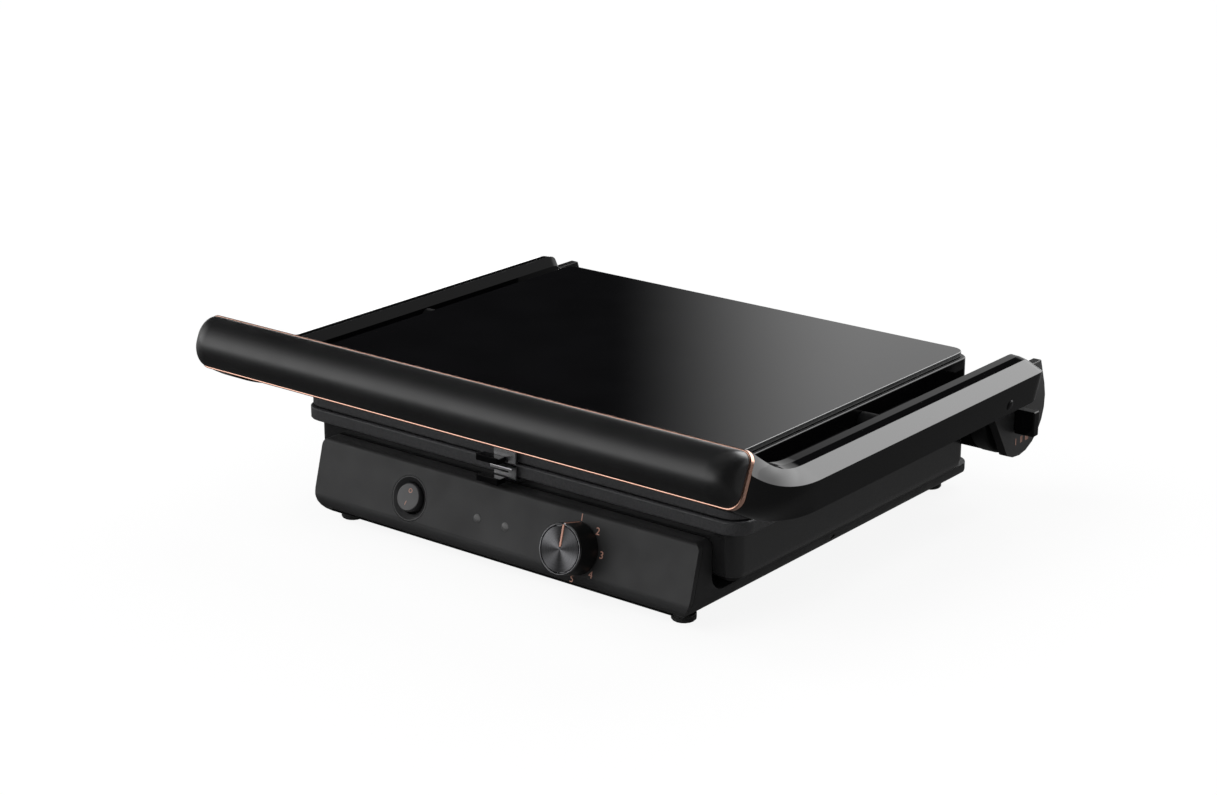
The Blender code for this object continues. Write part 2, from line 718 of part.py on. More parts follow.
def plinth_rear():
    return HOUSING_REAR_Y - PLINTH_INSET / 2


def cover_box(name, growth, low, high):
    """The bottom cover's outline, grown by a gap, between two heights."""
    half = BASE_HALF_WIDTH - COVER_INSET_X + growth
    front = PANEL_FOOT_Y + COVER_INSET_Y - growth
    rear = BASE_REAR_Y - COVER_INSET_Y + growth
    return rounded_box(name, (-half, front, low), (half, rear, high), COVER_CORNER)


def side_notch():
    """The small slanted notch low in the right side wall."""
    half = (NOTCH_LENGTH / 2, NOTCH_HEIGHT / 2)
    notch = rounded_box("side_notch_cutter", (-NOTCH_DEPTH, -half[0], -half[1]),
                        (NOTCH_DEPTH, half[0], half[1]))
    place = Matrix.Translation((BASE_HALF_WIDTH, HOUSING_MIDDLE_Y, FOOT_HEIGHT + NOTCH_LIFT))
    return in_frame(notch, place @ Matrix.Rotation(NOTCH_SLANT, 4, "X"))


def foot_places():
    front = PANEL_FOOT_Y + FOOT_INSET_FRONT
    rear = BASE_REAR_Y - FOOT_INSET_REAR
    across = BASE_HALF_WIDTH - FOOT_INSET_X
    across_rear = BASE_HALF_WIDTH - FOOT_INSET_REAR_X
    return {
        "foot_front_left": (-across, front),
        "foot_front_right": (across, front),
        "foot_rear_left": (-across_rear, rear),
        "foot_rear_right": (across_rear, rear),
    }


def make_base_shell(materials):
    shell = base_form("base_shell")
    cut(shell, ahead_of_panel("behind_fascia_cutter", FASCIA_DEPTH + SEAT_GAP))
    plinth = rounded_box("plinth",
                         (-BASE_HALF_WIDTH + PLINTH_INSET, plinth_front(), TRAY_TOP_Z - OVERRUN / 2),
                         (BASE_HALF_WIDTH - PLINTH_INSET, plinth_rear(), LOWER_HOUSING_BOTTOM_Z - SEAT_GAP),
                         PLINTH_CORNER)
    fuse(shell, plinth)
    cut(shell, *base_cavities())
    for name, (x, y) in foot_places().items():
        place = Matrix.Translation((x, y, 0.0))
        cut(shell, cylinder(name + "_hole", FOOT_PEG_DIAMETER + 2 * SEAT_GAP, FOOT_HEIGHT - OVERRUN,
                            FOOT_HEIGHT + BASE_WALL + OVERRUN, place))
    cut(shell, side_notch(), gland_hole())
    return finish(shell, materials["body_grey"])


def gland_frame():
    """Local Z out of the rear wall."""
    place = Matrix.Translation((GLAND_X, BASE_REAR_Y, FOOT_HEIGHT + GLAND_LIFT))
    return place @ Matrix.Rotation(-math.pi / 2, 4, "X")


def gland_hole():
    return cylinder("gland_hole", GLAND_SLEEVE_DIAMETER + 2 * SEAT_GAP,
                    -TRAY_CAVITY_INSET - OVERRUN, OVERRUN, gland_frame())


def make_gland(materials):
    bore = GLAND_BORE_DIAMETER / 2
    sleeve = GLAND_SLEEVE_DIAMETER / 2
    flange = GLAND_FLANGE_DIAMETER / 2
    profile = [
        (bore, SEAT_GAP + GLAND_FLANGE_THICKNESS),
        (flange, SEAT_GAP + GLAND_FLANGE_THICKNESS),
        (flange, SEAT_GAP),
        (sleeve, SEAT_GAP),
        (sleeve, -TRAY_CAVITY_INSET),
        (bore, -TRAY_CAVITY_INSET),
    ]
    gland = turned("cord_gland", profile, gland_frame(), closed=True, steps=SMALL_TURN_STEPS)
    finish(gland, materials["rubber"])


def make_bottom_cover(materials):
    cover = cover_box("bottom_cover", 0.0, FOOT_HEIGHT, FOOT_HEIGHT + COVER_THICKNESS)
    span = (VENT_COUNT - 1) * VENT_PITCH / 2
    slots = []
    for row in (HOUSING_MIDDLE_Y - VENT_OFFSET_Y, HOUSING_MIDDLE_Y + VENT_OFFSET_Y):
        for i in range(VENT_COUNT):
            x = i * VENT_PITCH - span
            low = (x - VENT_WIDTH / 2, row - VENT_LENGTH / 2, FOOT_HEIGHT - OVERRUN)
            high = (x + VENT_WIDTH / 2, row + VENT_LENGTH / 2, FOOT_HEIGHT + COVER_THICKNESS + OVERRUN)
            slots.append((low, high))
    cut(cover, box_row("vent_cutter", slots))
    finish(cover, materials["body_grey"])


def make_feet(materials):
    radius = FOOT_DIAMETER / 2
    peg = FOOT_PEG_DIAMETER / 2
    seat = FOOT_HEIGHT - SEAT_GAP
    peg_top = FOOT_HEIGHT + BASE_WALL + FOOT_PEG_REACH
    profile = [
        (0.0, peg_top),
        (peg, peg_top),
        (peg, seat),
        (radius, seat),
        (radius, FOOT_CHAMFER),
        (radius - FOOT_CHAMFER, 0.0),
        (0.0, 0.0),
    ]
    for name, (x, y) in foot_places().items():
        foot = turned(name, profile, Matrix.Translation((x, y, 0.0)), steps=SMALL_TURN_STEPS)
        finish(foot, materials["rubber"])


def make_fascia(materials):
    blank = base_form("fascia_blank")
    keep_inside(blank, ahead_of_panel("fascia_keeper", FASCIA_DEPTH))
    fascia = soften_front(blank, "front_fascia")
    low = -FASCIA_DEPTH - OVERRUN
    cut(fascia, cylinder("switch_hole", SWITCH_BEZEL_DIAMETER + 2 * SEAT_GAP, low, OVERRUN,
                         panel_frame(SWITCH_X), FINE_TURN_STEPS))
    cut(fascia, cylinder("shaft_hole", SHAFT_HOLE_DIAMETER, low, OVERRUN, panel_frame(KNOB_X)))
    for name, x in (("lamp_hole_left", LAMP_LEFT_X), ("lamp_hole_right", LAMP_RIGHT_X)):
        cut(fascia, cylinder(name, LAMP_DIAMETER + 2 * SEAT_GAP, low, OVERRUN, panel_frame(x)))
    finish(fascia, materials["body_grey"])


def soften_front(blank, name):
    """Round the panel's outer edges, all but those at the seam behind it."""
    bm = evaluated_mesh(blank)
    bmesh.ops.remove_doubles(bm, verts=bm.verts, dist=WELD)
    bmesh.ops.dissolve_limit(bm, angle_limit=MERGE_ANGLE, verts=bm.verts, edges=bm.edges)
    to_panel = panel_frame(0.0).inverted()
    seam = -FASCIA_DEPTH + WELD
    front = [e for e in bm.edges
             if len(e.link_faces) == 2 and e.calc_face_angle() > SMOOTH_ANGLE
             and max((to_panel @ v.co).z for v in e.verts) > seam]
    bmesh.ops.bevel(bm, geom=front, offset=FASCIA_EDGE, offset_type="OFFSET", segments=3,
                    profile=0.5, affect="EDGES", clamp_overlap=True)
    bpy.data.objects.remove(blank, do_unlink=True)
    return mesh_object(name, bm)


def make_lamps(materials):
    radius = LAMP_DIAMETER / 2
    flange = radius + LAMP_FLANGE
    seat = -FASCIA_DEPTH - SEAT_GAP
    dome = [(radius * math.sin(a), LAMP_DOME * math.cos(a))
            for a in (math.radians(turn) for turn in range(0, 91, 30))]
    profile = dome + [(radius, seat), (flange, seat), (flange, seat - LAMP_FLANGE_THICKNESS),
                      (0.0, seat - LAMP_FLANGE_THICKNESS)]
    for name, x in (("lamp_lens_left", LAMP_LEFT_X), ("lamp_lens_right", LAMP_RIGHT_X)):
        finish(turned(name, profile, panel_frame(x), steps=SMALL_TURN_STEPS), materials["lens_grey"])
    front = seat - LAMP_FLANGE_THICKNESS - SEAT_GAP
    half = (LAMP_RIGHT_X - LAMP_LEFT_X) / 2 + LAMP_BOARD_MARGIN
    board = rounded_box("indicator_board", (-half, -LAMP_BOARD_HEIGHT / 2, front - LAMP_BOARD_THICKNESS),
                        (half, LAMP_BOARD_HEIGHT / 2, front))
    in_frame(board, panel_frame((LAMP_LEFT_X + LAMP_RIGHT_X) / 2))
    finish(board, materials["board_green"])


def make_switch(materials):
    rim = SWITCH_BEZEL_DIAMETER / 2
    bore = SWITCH_BORE_DIAMETER / 2
    tube_radius = bore + SWITCH_TUBE_WALL
    profile = [
        (rim - SWITCH_FLANGE_WALL / 2, 0.0),
        (rim, 0.0),
        (rim, -FASCIA_DEPTH),
        (tube_radius, -FASCIA_DEPTH - SWITCH_FLANGE_WALL),
        (tube_radius, -SWITCH_TUBE_DEPTH),
        (bore, -SWITCH_TUBE_DEPTH),
        (bore, -SWITCH_CONE_DEPTH),
    ]
    bezel = turned("switch_bezel", profile, panel_frame(SWITCH_X), closed=True, steps=FINE_TURN_STEPS)
    finish(bezel, materials["gloss_black"])
    top = -SWITCH_TUBE_DEPTH - SEAT_GAP
    body = cylinder("switch_body", 2 * tube_radius, top - SWITCH_BODY_DEPTH, top, panel_frame(SWITCH_X))
    finish(body, materials["hinge_grey"])


def rocker_axis_frame():
    return panel_frame(SWITCH_X) @ Matrix.Translation((0.0, 0.0, -ROCKER_SINK - ROCKER_THICKNESS / 2))


def make_rocker(materials):
    """A round rocker with a dished face, stored with its upper half pressed in."""
    axis = rocker_axis_frame()
    mover = make_mover("rocker_mover", axis)
    radius = SWITCH_BORE_DIAMETER / 2 - ROCKER_GAP
    half = ROCKER_THICKNESS / 2
    pressed = axis @ Matrix.Rotation(-ROCKER_THROW / 2, 4, "X")
    rocker = cylinder("rocker_button", 2 * radius, -half, half, pressed, FINE_TURN_STEPS)
    wide = radius + OVERRUN
    dish_outline = [(-wide, half + OVERRUN), (-wide, half), (0.0, half - ROCKER_DISH),
                    (wide, half), (wide, half + OVERRUN)]
    dish = outline_solid("rocker_dish_cutter", dish_outline, "YZ", -wide, wide)
    cut(rocker, in_frame(dish, pressed))
    finish(rocker, materials["gloss_black"], mover)


def make_knob(materials):
    frame = panel_frame(KNOB_X)
    mover = make_mover("knob_mover", frame)
    radius = KNOB_DIAMETER / 2
    top = KNOB_LIFT + KNOB_DEPTH
    face_radius = radius - KNOB_FACE_RIM
    hub = SHAFT_DIAMETER / 2 + SHAFT_HUB_WALL
    back_cut = KNOB_LIFT + KNOB_BACK_CUT
    body_profile = [
        (0.0, top - KNOB_FACE_DEPTH),
        (face_radius, top - KNOB_FACE_DEPTH),
        (face_radius, top - KNOB_CHAMFER),
        (radius - KNOB_CHAMFER, top),
        (radius, top - KNOB_CHAMFER),
        (radius + KNOB_TAPER, KNOB_LIFT),
        (radius - KNOB_WALL, KNOB_LIFT),
        (radius - KNOB_WALL, back_cut),
        (hub, back_cut),
        (hub, KNOB_LIFT),
        (0.0, KNOB_LIFT),
    ]
    body = turned("knob_body", body_profile, frame, steps=FINE_TURN_STEPS)
    shaft_top = KNOB_LIFT + SHAFT_BITE
    hole = SHAFT_DIAMETER + 2 * SEAT_GAP
    cut(body, cylinder("knob_shaft_hole", hole, -OVERRUN, shaft_top + SEAT_GAP, frame))
    cut(body, pointer_box("pointer_groove", frame, SEAT_GAP, SEAT_GAP + OVERRUN))
    finish(body, materials["gloss_black"], mover)

    face_low = top - KNOB_FACE_DEPTH + SEAT_GAP
    face = cylinder("knob_face", 2 * (face_radius - SEAT_GAP), face_low, top - SEAT_GAP, frame,
                    FINE_TURN_STEPS)
    cut(face, pointer_box("pointer_slot", frame, SEAT_GAP, SEAT_GAP + OVERRUN))
    finish(face, materials["knob_metal"], mover)
    finish(pointer_box("knob_pointer", frame, 0.0, 0.0), materials["copper"], mover)

    shaft = cylinder("thermostat_shaft", SHAFT_DIAMETER, -FASCIA_DEPTH, shaft_top, frame)
    finish(shaft, materials["steel"], mover)


def pointer_box(name, frame, growth, above):
    """The pointer bar in the knob's face, or the groove that it lies in."""
    top = KNOB_LIFT + KNOB_DEPTH
    end = KNOB_DIAMETER / 2 - KNOB_CHAMFER
    low = (-POINTER_WIDTH / 2 - growth, POINTER_START - growth, top - POINTER_DEPTH - growth)
    high = (POINTER_WIDTH / 2 + growth, end + (growth + OVERRUN if growth else 0.0), top + above)
    return in_frame(rounded_box(name, low, high), frame)


def make_thermostat(materials):
    top = -FASCIA_DEPTH - SEAT_GAP
    low = (-THERMOSTAT_WIDTH / 2, -THERMOSTAT_HEIGHT / 2, top - THERMOSTAT_DEPTH)
    high = (THERMOSTAT_WIDTH / 2, THERMOSTAT_HEIGHT / 2, top)
    body = rounded_box("thermostat", low, high, THERMOSTAT_EDGE)
    finish(in_frame(body, panel_frame(KNOB_X)), materials["ceramic"])


def make_terminal_block(materials):
    floor = FOOT_HEIGHT + COVER_THICKNESS + SEAT_GAP
    rear = BASE_REAR_Y - TERMINAL_REAR_GAP - COVER_LEDGE - COVER_INSET_Y / 2
    block = rounded_box("terminal_block",
                        (GLAND_X - TERMINAL_LENGTH, rear - TERMINAL_DEPTH, floor),
                        (GLAND_X, rear, floor + TERMINAL_HEIGHT), TERMINAL_EDGE)
    finish(block, materials["ceramic"])


def boss_places():
    across = HOUSING_HALF_WIDTH - BOSS_INSET
    return [(x, y) for x in (-across, across)
            for y in (HOUSING_FRONT_Y + BOSS_INSET, HOUSING_REAR_Y - BOSS_INSET)]


def reflector_distances():
    """Near and far faces of a reflector's sheet, as distances from the seam."""
    near = RIM_HEIGHT + 2 * SEAT_GAP + ELEMENT_DIAMETER
    return near, near + REFLECTOR_THICKNESS


def make_housing(name, side, height, edge):
    """A tub that is open towards its plate, with bosses inside for the reflector."""
    near = RIM_HEIGHT + SEAT_GAP
    far = near + height
    tub = flat_box(name, side, HOUSING_HALF_WIDTH, HOUSING_FRONT_Y, HOUSING_REAR_Y, near, far,
                   HOUSING_CORNER, edge)
    wall = HOUSING_WALL
    inner_edge = max(edge - wall, 0.0)
    cut(tub, flat_box(name + "_cavity", side, HOUSING_HALF_WIDTH - wall, HOUSING_FRONT_Y + wall,
                      HOUSING_REAR_Y - wall, near - OVERRUN, far - wall, HOUSING_CORNER - wall, inner_edge))
    heights = sorted((level(side, reflector_distances()[1] + SEAT_GAP), level(side, far - wall / 2)))
    for i, (x, y) in enumerate(boss_places()):
        fuse(tub, cylinder(f"{name}_boss_{i}", BOSS_DIAMETER, heights[0], heights[1],
                           Matrix.Translation((x, y, 0.0)), SMALL_TURN_STEPS))
    notch = sorted((level(side, near - OVERRUN), level(side, near + CLIP_THICKNESS + 2 * SEAT_GAP)))
    cut(tub, rounded_box(name + "_clip_notch",
                         (CLIP_LEFT_X - SEAT_GAP, HOUSING_FRONT_Y - OVERRUN, notch[0]),
                         (CLIP_LEFT_X + CLIP_WIDTH + SEAT_GAP, HOUSING_FRONT_Y + wall + OVERRUN, notch[1])))
    return tub


def make_plate(name, side, inset=0.0):
    """A cast plate with a raised rim round a ribbed cooking face."""
    plate = flat_box(name, side, PLATE_HALF_WIDTH - inset, PLATE_FRONT_Y + inset, PLATE_REAR_Y - inset,
                     0.0, RIM_HEIGHT, PLATE_CORNER, PLATE_EDGE, PLATE_EDGE)
    rim = PLATE_RIM_WIDTH
    rib_top = RIM_HEIGHT - PLATE_FLOOR - RIB_HEIGHT
    cut(plate, flat_box(name + "_pocket", side, PLATE_HALF_WIDTH - rim, PLATE_FRONT_Y + rim,
                        PLATE_REAR_Y - rim, -OVERRUN, rib_top, PLATE_CORNER - rim))
    heights = sorted((level(side, 0.0), level(side, RIM_HEIGHT - PLATE_FLOOR)))
    usable = PLATE_HALF_WIDTH - rim - RIB_END_GAP
    count = int(usable / RIB_PITCH)
    half_groove = (RIB_PITCH - RIB_WIDTH) / 2
    grooves = []
    for i in range(-count, count + 1):
        x = i * RIB_PITCH
        short = RIB_END_GAP + (PLATE_CORNER - rim if abs(i) == count else 0.0)
        grooves.append(((x - half_groove, PLATE_FRONT_Y + rim + short, heights[0]),
                        (x + half_groove, PLATE_REAR_Y - rim - short, heights[1])))
    cut(plate, box_row(name + "_groove_cutter", grooves))
    return plate


def make_element(name, side):
    """A tubular heating element: one loop whose two tails point to the rear."""
    distance = RIM_HEIGHT + SEAT_GAP + ELEMENT_DIAMETER / 2
    z = level(side, distance)
    across = HOUSING_HALF_WIDTH - ELEMENT_INSET
    front = HOUSING_FRONT_Y + ELEMENT_INSET
    rear = HOUSING_REAR_Y - ELEMENT_INSET
    tail = ELEMENT_TAIL_SPACING / 2
    end = rear + ELEMENT_TAIL_LENGTH
    bend = ELEMENT_BEND
    small = min(ELEMENT_BEND, ELEMENT_TAIL_LENGTH) / 2
    route = rounded_outline([
        (-tail, end, 0.0), (-tail, rear, small), (-across, rear, bend), (-across, front, bend),
        (across, front, bend), (across, rear, bend), (tail, rear, small), (tail, end, 0.0),
    ])
    return tube(name, [(x, y, z) for x, y in route], ELEMENT_DIAMETER)


def make_reflector(name, side):
    near, far = reflector_distances()
    inset = REFLECTOR_INSET
    half = HOUSING_HALF_WIDTH - inset
    front = HOUSING_FRONT_Y + inset
    rear = HOUSING_REAR_Y - inset / 2
    tray = flat_box(name, side, half, front, rear, near - REFLECTOR_LIP, far, REFLECTOR_CORNER)
    wall = REFLECTOR_THICKNESS
    cut(tray, flat_box(name + "_cavity", side, half - wall, front + wall, rear - wall,
                       near - REFLECTOR_LIP - OVERRUN, near, REFLECTOR_CORNER - wall))
    return tray


def make_lower_housing(materials):
    finish(make_housing("lower_housing", -1, LOWER_HOUSING_HEIGHT, LOWER_HOUSING_EDGE),
           materials["gloss_black"])
    finish(make_plate("lower_plate", -1), materials["plate_coating"])
    finish(make_element("lower_heating_element", -1), materials["steel"])
    finish(make_reflector("lower_reflector", -1), materials["steel"])


def make_lid(materials, arms_mover):
    mover = make_mover("lid_mover", Matrix.Translation((0.0, LID_PIVOT_Y, LID_PIVOT_Z)), arms_mover)
    lid = make_housing("lid_housing", 1, LID_HEIGHT, LID_EDGE)
    for side, name in ((-1, "lid_pivot_hole_left"), (1, "lid_pivot_hole_right")):
        cut(lid, cylinder(name, PIVOT_PIN_DIAMETER + 2 * SEAT_GAP,
                          HOUSING_HALF_WIDTH - HOUSING_WALL - OVERRUN, HOUSING_HALF_WIDTH + OVERRUN,
                          side_frame(LID_PIVOT_Y, LID_PIVOT_Z, side)))
    finish(lid, materials["gloss_black"], mover)
    finish(make_plate("upper_plate", 1, UPPER_PLATE_INSET), materials["plate_coating"], mover)
    finish(make_element("upper_heating_element", 1), materials["steel"], mover)
    finish(make_reflector("upper_reflector", 1), materials["steel"], mover)
    glass_low = LID_TOP_Z + GLASS_SHADOW_GAP
    half = HOUSING_HALF_WIDTH - GLASS_SIDE_INSET
    glass = rounded_box("lid_glass", (-half, HOUSING_FRONT_Y + GLASS_END_INSET, glass_low),
                        (half, HOUSING_REAR_Y - GLASS_END_INSET, GLASS_TOP_Z), GLASS_CORNER, GLASS_EDGE)
    finish(glass, materials["black_glass"], mover)
    make_lid_pivots(materials, mover)
    return mover


def make_lid_pivots(materials, mover):
    pin = PIVOT_PIN_DIAMETER / 2
    collar = PIVOT_COLLAR_DIAMETER / 2
    inner = HOUSING_HALF_WIDTH - HOUSING_WALL - PIVOT_PIN_INNER
    seat = HOUSING_HALF_WIDTH + SEAT_GAP
    collar_end = ARM_INNER_X - RUN_GAP
    tip = ARM_INNER_X + PIVOT_PIN_BITE
    profile = [(0.0, tip), (pin, tip), (pin, collar_end), (collar, collar_end), (collar, seat),
               (pin, seat), (pin, inner), (0.0, inner)]
    for side, name in ((-1, "lid_pivot_left"), (1, "lid_pivot_right")):
        item = turned(name, profile, side_frame(LID_PIVOT_Y, LID_PIVOT_Z, side), steps=SMALL_TURN_STEPS)
        finish(item, materials["hinge_grey"], mover)


def tower_profile():
    """The hinge tower's section, between the lower housing and the opened lid."""
    front = HOUSING_REAR_Y + TOWER_HOUSING_GAP - HINGE_Y
    barrel = BARREL_RADIUS
    start = math.atan2(-math.sqrt(CAP_RADIUS ** 2 - front ** 2), front)
    end = -math.acos(barrel / CAP_RADIUS)
    belly = arc_points((HINGE_Y, HINGE_Z), CAP_RADIUS, start, end)
    crown = arc_points((HINGE_Y, HINGE_Z), barrel, 0.0, math.pi)
    step_top = HINGE_Z - RIM_HEIGHT - BARREL_STEP
    return belly + crown + [
        (HINGE_Y - barrel, step_top),
        (HINGE_Y + front, step_top - BARREL_STEP),
    ]


def make_hinge_tower(materials):
    half = PLATE_HALF_WIDTH + CAP_SIDE_GAP - SEAT_GAP
    tower = outline_solid("hinge_tower", tower_profile(), "YZ", -half, half)
    rear = HINGE_Y + BARREL_RADIUS - RUN_GAP
    front = HOUSING_REAR_Y + PEDESTAL_FRONT_GAP
    pedestal = rounded_box("hinge_pedestal", (-PEDESTAL_HALF_WIDTH, front, TRAY_TOP_Z + SEAT_GAP),
                           (PEDESTAL_HALF_WIDTH, rear, HINGE_Z - CAP_RADIUS / 2), TOWER_EDGE)
    fuse(tower, pedestal)
    hole = HINGE_PIN_DIAMETER + 2 * SEAT_GAP
    for side, name in ((-1, "tower_pin_hole_left"), (1, "tower_pin_hole_right")):
        cut(tower, cylinder(name, hole, half - HINGE_PIN_BITE - SEAT_GAP, half + OVERRUN,
                            side_frame(HINGE_Y, HINGE_Z, side)))
    finish(tower, materials["gloss_black"])
    make_hinge_caps(materials)
    make_hinge_pins(materials, half)


def make_hinge_caps(materials):
    inner = PLATE_HALF_WIDTH + CAP_SIDE_GAP
    bore = HINGE_PIN_DIAMETER / 2 + SEAT_GAP
    edge = CAP_RADIUS - CAP_EDGE
    profile = [(bore, CAP_OUTER_X), (edge, CAP_OUTER_X), (CAP_RADIUS, CAP_OUTER_X - CAP_EDGE),
               (CAP_RADIUS, inner), (bore, inner)]
    for side, name in ((-1, "hinge_cap_left"), (1, "hinge_cap_right")):
        cap = turned(name, profile, side_frame(HINGE_Y, HINGE_Z, side), closed=True, steps=FINE_TURN_STEPS)
        ends = sorted((side * (inner - OVERRUN), side * (CAP_OUTER_X + OVERRUN)))
        cut(cap, rounded_box(name + "_flat", (ends[0], HINGE_Y - CAP_RADIUS, HINGE_Z + CAP_TOP),
                             (ends[1], HINGE_Y + CAP_RADIUS, HINGE_Z + 2 * CAP_RADIUS)))
        finish(cap, materials["gloss_black"])


def make_hinge_pins(materials, tower_half):
    low = tower_half - HINGE_PIN_BITE
    high = BRACKET_OUTER_X - BRACKET_SKIN - SEAT_GAP
    for side, name in ((-1, "hinge_pin_left"), (1, "hinge_pin_right")):
        pin = cylinder(name, HINGE_PIN_DIAMETER, low, high, side_frame(HINGE_Y, HINGE_Z, side))
        finish(pin, materials["steel"])


def arm_section(half_height, blend):
    """The arm's outline across its run, from its main form (0) to the handle's end (1)."""
    scale = half_height / (ARM_HEIGHT / 2)
    drop = half_height - ARM_FACET_DROP * scale
    inner_drop = half_height - ARM_INNER_CHAMFER_Z * scale
    crest = ARM_INNER_CHAMFER_X + ARM_TOP_FLAT
    upper_shares = (0.0, 1 / 3, 2 / 3, 1.0)
    lower_shares = (0.55, 0.7, 0.85, 1.0)
    foot = ARM_WIDTH - ARM_UNDERCUT
    main = [(0.0, -half_height), (0.0, inner_drop), (ARM_INNER_CHAMFER_X, half_height)]
    main += [(crest + (ARM_WIDTH - crest) * s, half_height + (drop - half_height) * s) for s in upper_shares]
    main += [(ARM_WIDTH + (foot - ARM_WIDTH) * s, drop + (-half_height - drop) * s) for s in lower_shares]
    end_x = HANDLE_LENGTH / 2 - ARM_INNER_X - HANDLE_CORNER
    end_v = HANDLE_HEIGHT / 2 - HANDLE_CORNER
    turns = [math.radians(turn) for turn in (90.0, 60.0, 30.0, 0.0)]
    end = [(0.0, -HANDLE_HEIGHT / 2), (0.0, HANDLE_HEIGHT / 2 - ARM_INNER_CHAMFER_X),
           (ARM_INNER_CHAMFER_X, HANDLE_HEIGHT / 2)]
    end += [(end_x + HANDLE_CORNER * math.cos(a), end_v + HANDLE_CORNER * math.sin(a)) for a in turns]
    end += [(end_x + HANDLE_CORNER * math.cos(a), -end_v - HANDLE_CORNER * math.sin(a))
            for a in reversed(turns)]
    return [(a[0] * (1 - blend) + b[0] * blend, a[1] * (1 - blend) + b[1] * blend)
            for a, b in zip(main, end)]


def smooth_step(t):
    return t * t * (3 - 2 * t)


def arm_stations():
    """Centre, lean, half height and blend of each section, from the rear end to the handle."""
    half = ARM_HEIGHT / 2
    stations = [(HINGE_Y, ARM_CENTRE_Z, 0.0, half, 0.0)]
    frame = tilted_frame(0.0, HANDLE_Y, HANDLE_Z, HANDLE_TILT)
    end = frame @ Vector((0.0, 0.0, -SEAT_GAP))
    start = Vector((0.0, HANDLE_Y + ARM_NECK_LENGTH, ARM_CENTRE_Z))
    first = start + Vector((0.0, -ARM_NECK_LENGTH * ARM_NECK_OUT_SHARE, 0.0))
    second = end + Vector((0.0, ARM_NECK_LENGTH, -HANDLE_RISE * 2)) * ARM_NECK_IN_SHARE
    for i in range(ARM_NECK_STEPS + 1):
        t = i / ARM_NECK_STEPS
        u = 1 - t
        centre = start * u ** 3 + first * (3 * u * u * t) + second * (3 * u * t * t) + end * t ** 3
        blend = smooth_step(t)
        stations.append((centre.y, centre.z, HANDLE_TILT * blend, half, blend))
    return stations


def make_arm(name):
    rings = []
    for y, z, lean, half, blend in arm_stations():
        ring = []
        for x, n in arm_section(half, blend):
            ring.append((ARM_INNER_X + x, y + n * math.sin(lean), z + n * math.cos(lean)))
        rings.append(ring)
    arm = loft(name, rings)
    bevel = arm.modifiers.new("soft_edges", "BEVEL")
    bevel.width = ARM_BEVEL
    bevel.segments = 2
    bevel.limit_method = "ANGLE"
    bevel.angle_limit = math.radians(24.0)
    keep_inside(arm, arm_end_form(name + "_round_end"))
    pocket_front = HINGE_Y - BRACKET_NOSE - RUN_GAP
    low = (ARM_INNER_X - OVERRUN, pocket_front, ARM_CENTRE_Z - ARM_HEIGHT)
    high = (BRACKET_OUTER_X + SEAT_GAP, HINGE_Y + OVERRUN, BRACKET_TOP_Z + SEAT_GAP)
    cut(arm, rounded_box(name + "_bracket_pocket", low, high))
    cut(arm, cylinder(name + "_pivot_hole", PIVOT_PIN_DIAMETER + 2 * SEAT_GAP, ARM_INNER_X - OVERRUN,
                      ARM_INNER_X + PIVOT_PIN_BITE + RUN_GAP, side_frame(LID_PIVOT_Y, LID_PIVOT_Z)))
    return arm


def arm_end_form(name):
    """The arm's side view: open to the front, with a half round at the rear."""
    half = ARM_HEIGHT / 2
    middle = HINGE_Y - half - ARM_REAR_LENGTH
    ahead = HANDLE_Y - HANDLE_HEIGHT
    under = ARM_CENTRE_Z - ARM_HEIGHT
    above = ARM_CENTRE_Z + 2 * ARM_HEIGHT
    end = arc_points((middle, ARM_CENTRE_Z), half, -math.pi / 2, math.pi / 2)
    points = [(ahead, under), (middle - OVERRUN, under)] + end + [(middle - OVERRUN, above), (ahead, above)]
    return outline_solid(name, points, "YZ", ARM_INNER_X - OVERRUN, ARM_OUTER_X + OVERRUN)


def bracket_outline():
    """A round lower half on the hinge axis, a slanted front flank and a square top."""
    top = BRACKET_TOP_Z - HINGE_Z
    reach = math.hypot(BRACKET_TAIL, top)
    tangent = math.atan2(top, BRACKET_TAIL) - math.acos(min(1.0, BRACKET_RADIUS / reach))
    belly = arc_points((HINGE_Y, HINGE_Z), BRACKET_RADIUS, BRACKET_FLANK_ANGLE - 2 * math.pi, tangent)
    under_arm = ARM_CENTRE_Z - ARM_HEIGHT / 2
    return belly + [
        (HINGE_Y + BRACKET_TAIL, BRACKET_TOP_Z),
        (HINGE_Y - BRACKET_NOSE, BRACKET_TOP_Z),
        (HINGE_Y - BRACKET_NOSE, under_arm),
    ]


def lever_box(name, growth_y, growth_z, travel, inner, outer):
    """The height lever's shank, or the slot in which it slides."""
    front = HINGE_Y - LEVER_AHEAD + (LEVER_THICKNESS - LEVER_SHANK_WIDTH) / 2
    bottom = HINGE_Z - LEVER_DROP + LEVER_SHANK_LIFT
    return rounded_box(name, (inner, front - growth_y, bottom - growth_z),
                       (outer, front + LEVER_SHANK_WIDTH + travel + growth_y,
                        bottom + LEVER_SHANK_HEIGHT + growth_z))


